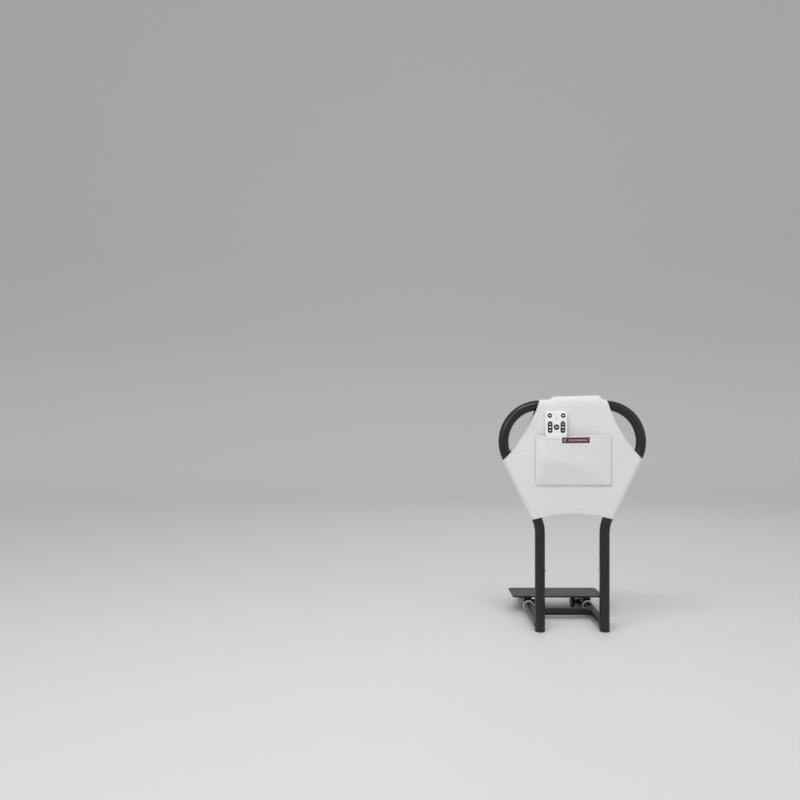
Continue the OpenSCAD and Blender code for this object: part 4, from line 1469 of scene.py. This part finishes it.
def handset():
    """The bed's handset: its case, rubber keys in wells, printed marks, and a small lamp."""
    handset_case()
    for _, side in SIDES:
        (x, z), y = key_cap("key_top_" + side, "small_key_" + side)
        icon("mark_small_" + side, bar_mark(x, z, 0.0078, 0.0024), y, "small_key_" + side)
        (x, z), y = key_cap("rocker_" + side, "rocker_key_" + side)
        icon("mark_middle_" + side, bar_mark(x, z, 0.0098, 0.0028), y, "rocker_key_" + side)
        for up, word in ((1, "up"), (-1, "down")):
            arrow = arrow_mark(x, z + up * 0.0098, 0.0044, up)
            icon(f"mark_{word}_{side}", arrow, y, "rocker_key_" + side)
    (x, z), y = key_cap("key_centre", "centre_key")
    icon("mark_centre", bar_mark(x, z, 0.0088, 0.0026), y, "centre_key")

    low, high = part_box("status_lens")
    centre, wide, tall = face("status_lens")
    rim = outline(wide, tall, tall / 2, 8)
    loops = []
    for along, share in ((0.0, 1.0), (0.9, 1.0), (0.97, 0.85), (1.0, 0.5), (1.01, 0.12)):
        y = high.y + (low.y - 0.0002 - high.y) * along
        loops.append([(centre[0] + x * share, y, centre[1] + z * share) for x, z in rim])
    dress(loft("status_lens_dome", loops, LENS, sharp=60), "handset", "lens", "status_lens")


# ---------------------------------------------------------------- frame and bed mount


def leaf_spring(side):
    """The snap button's bent strip, which closes as the button goes in."""
    node = "button_spring_" + side
    low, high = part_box(node)
    wide, thick, deep = high.x - low.x, 0.0008, high.y - low.y
    centre, foot = middle(node), low.z + (high.x - low.x) / 2
    radius = (wide - thick) / 2
    path = [(-radius, z) for z in np.linspace(high.z - foot, 0.002, 12)]
    path += [(-radius * math.cos(a), -radius * math.sin(a)) for a in np.linspace(0, math.pi, 25)]
    path += [(radius, z) for z in np.linspace(0.002, high.z - foot, 12)]
    path = np.array(path)
    along = np.gradient(path, axis=0)
    along /= np.linalg.norm(along, axis=1, keepdims=True)
    out = np.stack([along[:, 1], -along[:, 0]], axis=1)
    section = outline(thick, deep, thick * 0.35, 4)
    loops = [
        [(centre.x + x + nx * a, centre.y + b, foot + z + nz * a) for a, b in section]
        for (x, z), (nx, nz) in zip(path, out)
    ]
    spring = loft(node + "_piece", loops, ZINC)
    dress(spring, "upper_frame", "bright_steel", node)
    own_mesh(spring)


def rail_parts():
    """Rounded hardware, thread, weld beads, and finishes for the CAD nodes that stay."""
    tubes = [part + side for part in ("leg_tube_", "arm_tube_", "receiver_") for _, side in SIDES]
    for material, nodes in (
        (STEEL, ["handle_loop", "cross_bar", *tubes]),
        (LOOP_TAPE, ["loop_strips"]),
        (HOOK_TAPE, ["hook_strips"]),
        (BOARD, ["circuit_board"]),
        (MEMBRANE, ["key_membrane"]),
        (CELL, ["batteries"]),
    ):
        for node in nodes:
            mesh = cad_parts[node].data
            mesh.materials.clear()
            mesh.materials.append(material)
    softened("mount_plate", 0.0012, "bed_mount", STEEL)
    for _, side in SIDES:
        for node, edge, body, material in (
            ("saddles_" + side, 0.0008, "bed_mount", STEEL),
            ("lock_boss_" + side, 0.0006, "bed_mount", STEEL),
            (f"bush_{side}_front", 0.0005, "bed_mount", NYLON),
            (f"bush_{side}_rear", 0.0005, "bed_mount", NYLON),
            ("lock_knob_" + side, 0.0016, "knob_" + side, BLACK),
            ("leg_cap_" + side, 0.0007, "lower_frame", BLACK),
            ("arm_cap_" + side, 0.0009, "lower_frame", BLACK),
        ):
            softened(node, edge, body, material)
    for s, side in SIDES:
        stud(s, side)
        snap_button(s, side)
        leaf_spring(side)
        welds(s, side)


def welds(s, side):
    """Weld beads: arm to leg, cross bar to arm, and between the bed mount's own parts."""
    turns = np.linspace(0, 2 * math.pi, 73)
    path = []
    for a in turns:
        y = LEG_Y + TUBE_R * abs(math.sin(a)) * 0.995 + 0.0006
        path.append((s * LEG_X + TUBE_R * math.cos(a), y, ARM_Z + TUBE_R * 1.01 * math.sin(a)))
    weld_bead("weld_leg_" + side, path, 0.0019, "lower_frame")

    boss, receiver_r = "lock_boss_" + side, face("receiver_" + side)[2] / 2
    for name, node, host_r, centre_z, gap, bead, body in (
        ("weld_bar_", "cross_bar", TUBE_R, ARM_Z, 0.0004, 0.0016, "lower_frame"),
        ("weld_boss_", boss, receiver_r, middle(boss).z, 0.0003, 0.0013, "bed_mount"),
    ):
        centre_y, radius = middle(node).y, face(node)[2] / 2
        path = []
        for a in turns:
            z = radius * math.sin(a)
            x = LEG_X - math.sqrt(host_r**2 - z * z) - gap
            path.append((s * x, centre_y + (radius + gap) * math.cos(a), centre_z + z * 1.03))
        weld_bead(name + side, path, bead, body)

    low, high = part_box("saddles_" + side)
    plate_z, block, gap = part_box("mount_plate")[0].z, 0.014, 0.0004
    o = outline(high.x - low.x + gap, block + gap, 0.0012, 4)
    for word, y in (("front", low.y + block / 2), ("rear", high.y - block / 2)):
        path = [(s * LEG_X + x, y + dy, plate_z - 0.0003) for x, dy in o]
        weld_bead(f"weld_saddle_{side}_{word}", path + path[:1], 0.0014, "bed_mount")


# ---------------------------------------------------------------- stage, light, camera


def stage():
    """Pale floor that curves up into a grey backdrop, lamps, and the camera."""
    p = Paint("studio", (0.80, 0.80, 0.79), 0.6)
    at = p.place()
    wall_from, wall_to = 0.1, 1.4
    wall = p.between(p.axes(at)[2], FLOOR_Z + wall_from, FLOOR_Z + wall_to)
    speck = p.noise(at, 3.0, 3.0)
    tone = p.mix(p.math("MULTIPLY", speck, 0.15), (0.72, 0.72, 0.72), (0.66, 0.66, 0.66))
    p.set("Base Color", p.mix(wall, tone, (0.61, 0.602, 0.604)))
    reach, bend_y, bend_r, tall = 24.0, 3.0, 2.2, 8.0
    sections = [(-reach, 0.0), (-6.0, 0.0), (bend_y, 0.0)]
    for a in np.radians(np.linspace(6, 90, 22)):
        sections.append((bend_y + bend_r * math.sin(a), bend_r * (1 - math.cos(a))))
    sections.append((bend_y + bend_r, tall))
    points = [(x, y, FLOOR_Z + z) for y, z in sections for x in np.linspace(-reach, reach, 7)]
    floor = make_object("studio_floor", points, grid_faces(len(sections), 7), p.material)

    def lamp(name, place, aim, size, power):
        data = bpy.data.lights.new(name, "AREA")
        data.shape, data.size, data.size_y = "RECTANGLE", *size
        data.energy = power
        obj = bpy.data.objects.new(name, data)
        obj.location = place
        obj.rotation_euler = (Vector(aim) - Vector(place)).to_track_quat("-Z", "Y").to_euler()
        bpy.context.scene.collection.objects.link(obj)

    aim = (0.0, LEG_Y, 0.35)
    lamp("key_light", (-0.48, -1.32, 2.20), (-0.1, LEG_Y, 0.62), (1.2, 0.18), 14.5)
    lamp("soft_light", (-2.2, -2.4, 1.9), aim, (2.0, 1.6), 20)
    lamp("fill_light", (2.4, -2.2, 1.6), aim, (2.2, 2.0), 7.5)
    lamp("back_light", (0.6, 2.0, 2.2), aim, (2.2, 1.2), 8)
    world = bpy.data.worlds.new("studio_air")
    world.use_nodes = True
    air = world.node_tree.nodes["Background"].inputs
    air["Color"].default_value, air["Strength"].default_value = (0.93, 0.94, 0.96, 1), 0.70
    bpy.context.scene.world = world
    bpy.context.scene.view_settings.view_transform = "Standard"

    data = bpy.data.cameras.new("camera")
    data.lens, data.sensor_width = 35, 36
    data.clip_start, data.clip_end = 0.05, 60
    camera = bpy.data.objects.new("camera", data)
    # the rail stands right of the picture's middle, seen from a level camera near its top
    aside, away, above = 0.5416, 2.446, 0.0005
    camera.location = (-aside, LEG_Y - away, RAIL_TOP + above)
    camera.rotation_euler = (math.pi / 2, 0, 0)
    bpy.context.scene.collection.objects.link(camera)
    bpy.context.scene.camera = camera


# ---------------------------------------------------------------- put it together

SIDE_FLAP = (0.054, 0.150)  # width and length before it is turned with the tube


def cover():
    """The whole cover, with its seams."""
    shell, area = cover_shell()
    width = 2 * (float(tube_axis(cuff_ends(0.0)[1])[0][0]) + math.pi * COVER_R / 2)
    pieces = [shell, gusset(-1, "cover_gusset_left"), gusset(1, "cover_gusset_right")]
    pieces.append(bottom_strip())
    pad = pad_roll()
    seams = Stitches()
    for s, side in SIDES:
        pieces.append(binding("hand_hole_binding_" + side, hole_loop(s, 0.0010), 0.0013))
        sew(seams, hole_loop(s, 0.0105))
    pieces.append(binding("bottom_binding", hem_loop(0.0006), 0.0012))
    for inset in (0.0135, 0.0170):
        sew(seams, hem_loop(inset))
    for s, side in SIDES:
        node = "cover_flap_" + side
        pieces.append(flap(node, face(node)[0], *SIDE_FLAP, s * SPLAY, side, seams))
    pieces.append(flap("cover_flap_top", *face("cover_flap_top"), 0.0, "top", seams))
    pieces.append(sleeve_cloth())
    patch, hem = pocket_cloth(), pocket_hem()
    sewn_on = [*label_patch(), label_stitches()]
    pocket_seams(seams)
    pieces += [patch, hem, seams.build("cover_stitches", THREAD)]
    for slot, group in (("cover_cloth", pieces), ("label_cloth", sewn_on), ("pad_foam", [pad])):
        for piece in group:
            dress(piece, "upper_frame", slot)


def pocket_seams(seams):
    """Stitching round the pocket and along its hem."""
    inset, r, outward = 0.0030, 0.0075, (0.0, -1.0, 0.0)
    left, right, low = POCKET_LOW.x + inset, POCKET_HIGH.x - inset, POCKET_LOW.z + inset
    turns = np.radians(np.linspace(0, 90, 6))
    path = [(left, float(mouth_z(left)) - 0.001), (left, low + r)]
    path += [(left + r - r * math.cos(a), low + r - r * math.sin(a)) for a in turns]
    path += [(right - r + r * math.sin(a), low + r - r * math.cos(a)) for a in turns]
    path.append((right, float(mouth_z(right)) - 0.001))
    fine = resample(np.array([(x, 0.0, z) for x, z in path]), 0.0015)[0]
    fine[:, 1] = pocket_face(fine[:, 0], fine[:, 2])
    seams.line(fine, outward)
    xs = np.arange(left + 0.002, right, 0.0015)
    tag_low, tag_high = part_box("label")
    hem_z = mouth_z(xs) - HEM_H + 0.0014
    beside_label = (xs < tag_low.x - 0.001, xs > tag_high.x + 0.001)
    lines = [(xs[part], hem_z[part], 0.0003) for part in beside_label]
    lines.append((xs, np.full_like(xs, POCKET_LOW.z + 0.013), 0.0))
    for along, zs, lift in lines:
        seams.line(np.stack([along, pocket_face(along, zs) - lift, zs], axis=1), outward)


stage()
cover()
handset()
rail_parts()
